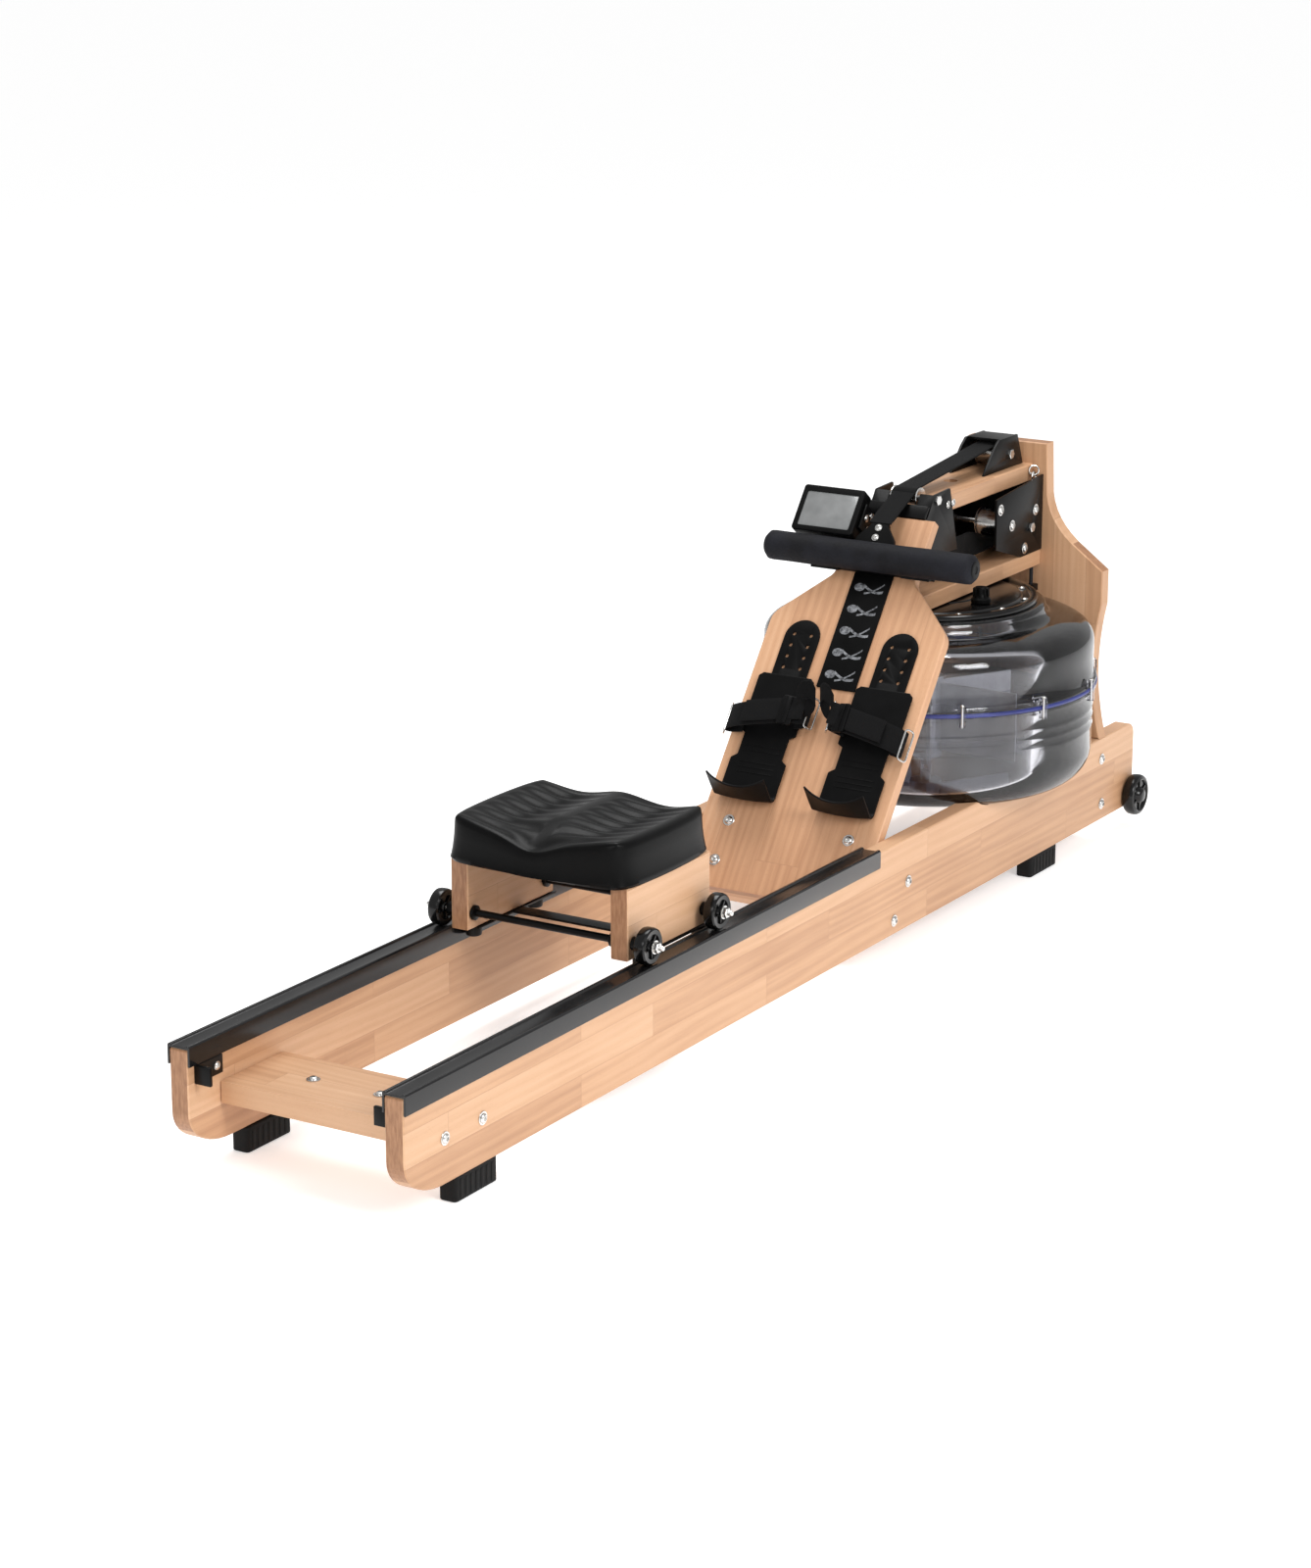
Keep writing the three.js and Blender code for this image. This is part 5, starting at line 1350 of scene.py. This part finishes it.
hub_low, hub_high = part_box("tank_hub_cover")
hub = hub_high.x
cover_edge = stepped(hub, hub_high.z, (0, -0.0022), (-0.0010, -0.0004), (-0.0030, 0), (-0.0100, 0),
                     (-0.0114, -0.0008), (-0.0134, -0.0030), (-0.0200, -0.0032), (-0.0220, -0.0030),
                     (-0.0238, -0.0010), (-0.0260, -0.0004))
cover_middle = stepped(0, hub_high.z, (0.084, -0.0004), (0.082, -0.0030), (0.078, -0.0030),
                       (0.076, -0.0004), (0.040, 0), (0.0380, 0.0060), (0.0365, 0.0075),
                       (0.024, 0.0078), (0.012, 0.0078))
cover = turned("tank_cover", [(0.012, hub_low.z), (hub - 0.0010, hub_low.z), (hub, hub_low.z + 0.0010),
                              *cover_edge, *cover_middle], 96, True)
cover = settle(cover, tank_place)
cover = drilled(cover, settle(plug_bore(), Matrix.Translation((plug_x, plug_y, 0))))
dressed(cover, gloss, "frame", ["tank_hub_cover"], 35)
ring = hub - 0.0167
screws("cover_screws", [((ring * math.cos(a), tank_y + ring * math.sin(a), hub_high.z - 0.0030), (0, 0, 1))
                        for a in [math.tau * (i + 0.5) / 12 for i in range(12)]], small_screw)

seat_z = hub_high.z + 0.0003
plug_neck = stepped(0, seat_z, (0.0108, -0.002), (0.0110, 0), (0.0142, 0), (0.0150, 0.0010),
                    (0.0150, 0.0060), (0.0140, 0.0074), (0.0112, 0.0100), (0.0100, 0.0150),
                    (0.0096, 0.0200))
plug = turned("plug", [(0.0095, plug_low.z), (0.0108, plug_low.z + 0.0014), *plug_neck,
                       *stepped(0, plug_high.z, (0.0098, -0.0022), (0.0090, -0.0004), (0.0060, 0))], 48)
fin_low, fin_high = (0.0090, -0.0012, seat_z + 0.0076), (0.0124, 0.0012, plug_high.z - 0.0020)
fins = [settle(block("fin", fin_low, fin_high, 0.0006), Matrix.Rotation(math.tau * i / 10, 4, "Z"))
        for i in range(10)]
plug = settle(joined("filler_plug", [plug, *fins]), Matrix.Translation((plug_x, plug_y, 0)))
dressed(plug, plastic, "fill_plug", ["fill_plug"])
print("twelve lugs, cover and plug")

# %% [markdown]
# ## Monitor
# A small case with a grey display. The case is a rounded plate with its window cut in, the
# display is a separate slightly sunken pane. It is blank and a little mottled, as a liquid
# crystal display is when it is off.

# %% Monitor
case = plate("monitor_shell", rounded(-0.138, 0.446, -0.036, 0.520, 0.0045, 6), 0.0180, 0.0420, 0.0022, 4)
window = plate("window", rounded(-0.1300, 0.4535, -0.0440, 0.5100, 0.0025, 3), 0.0392, 0.0500, 0)
case = drilled(case, window)
back_hump = plate("hump", rounded(-0.118, 0.458, -0.050, 0.508, 0.006, 4), 0.0130, 0.0190, 0.0018, 3)
dressed(settle(joined("monitor_shell", [eased(case, 0.0003, 1, 60), back_hump]), lean), plastic, "monitor",
        ["monitor_case"], 35)

display = Finish("screen", Specular_IOR_Level=0.6, Coat_Weight=0.35, Coat_Roughness=0.05)
flat = display.place(turn=(-lean_angle, 0, 0), shift=(0, 0, 0))
haze = display.noise(flat, 45.0, 3.0)
x_here, y_here = display.axis(flat, "X"), display.axis(flat, "Y")
fine = (x_here * 6500.0).sine() * (y_here * 6500.0).sine()
display.wear(Base_Color=display.ramp(haze * 0.7 + fine * 0.12 + 0.1, (0.25, (0.15, 0.155, 0.155)),
                                     (0.75, (0.235, 0.24, 0.24))),
             Roughness=haze * 0.1 + 0.16)
pane = plate("monitor_display", rounded(-0.1297, 0.4538, -0.0443, 0.5097, 0.0023, 3), 0.0395, 0.0405, 0.0003)
dressed(settle(pane, lean), display.material, "monitor", ["monitor_screen"])
print("monitor")

# %% [markdown]
# ## Recoil cord
# An elastic cord hangs from a steel hook beside the beam. It runs down through the shelf to
# a clamp on the upright. It is short, round and taut, so it is a straight tube.

# %% Hook, cord and clamp
beam_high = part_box("upper_beam")[1]
cord_x, cord_y = beam_high.x + 0.0080, upright_front - 0.037
hook_top = beam_high.z + 0.002
eye = wire("eye", spline([(0.0075 * math.cos(a), 0, 0.0075 * math.sin(a)) for a in
                          [math.tau * i / 12 for i in range(12)]], 3, True), 0.0014, 12, True)
eye = settle(eye, Matrix.Translation((cord_x, cord_y, hook_top - 0.010))
             @ Matrix.Rotation(math.radians(35), 4, "Z"))
hook_root = Vector((cord_x, cord_y, beam_high.z))
stem_steps = ((-0.010, 0, -0.013), (-0.004, 0, -0.013), (-0.0015, 0, -0.012), (0, 0, -0.0155))
clip_steps = ((0, -0.006, -0.016), (0, -0.004, -0.0235), (0, 0, -0.0300), (0, 0.004, -0.0235),
              (0, 0.006, -0.016), (0, 0, -0.0105))
stem = wire("stem", spline([hook_root + Vector(step) for step in stem_steps], 6), 0.0018, 12)
clip = wire("clip", spline([hook_root + Vector(step) for step in clip_steps], 6, True), 0.0015, 12, True)
dressed(joined("cord_hook", [eye, stem, clip]), bright_steel, "frame")
cord_top, cord_end = beam_high.z - 0.030, 0.402
cord_path = [Vector((cord_x, cord_y, cord_top + (cord_end - cord_top) * i / 24)) for i in range(25)]
elastic = Finish("elastic_cord", Specular_IOR_Level=0.3)
around = elastic.place()
strands = (elastic.axis(around, "Z") * 3000.0).sine()
braid = strands * (elastic.axis(around, "X") * 2600.0 + 1.0).sine() * 0.5 + 0.5
elastic.wear(Base_Color=elastic.ramp(braid, (0.2, (0.006, 0.006, 0.007)), (0.8, (0.022, 0.022, 0.025))),
             Roughness=braid * 0.2 + 0.6, Normal=elastic.bump(braid, 0.0003, 0.7))
cord = dressed(wire("recoil_cord", cord_path, 0.0030, 16), elastic.material, "frame")
clamp = block("clamp", (cord_x - 0.0065, cord_y - 0.006, cord_end - 0.010),
              (cord_x + 0.0065, cord_y + 0.0125, cord_end + 0.001), 0.0015, 3)
dressed(joined("cord_clamp", [clamp]), powder_coat, "frame")
print("cord", round(cord_top - cord_end, 3), "m")

# Every screw on the machine is a copy, so the two models go.
bpy.data.objects.remove(screw_model)
bpy.data.objects.remove(small_screw)

# %% [markdown]
# ## Finishing
# We measure the box that the finished model takes up.

# %% Measure the finished model
low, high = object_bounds()
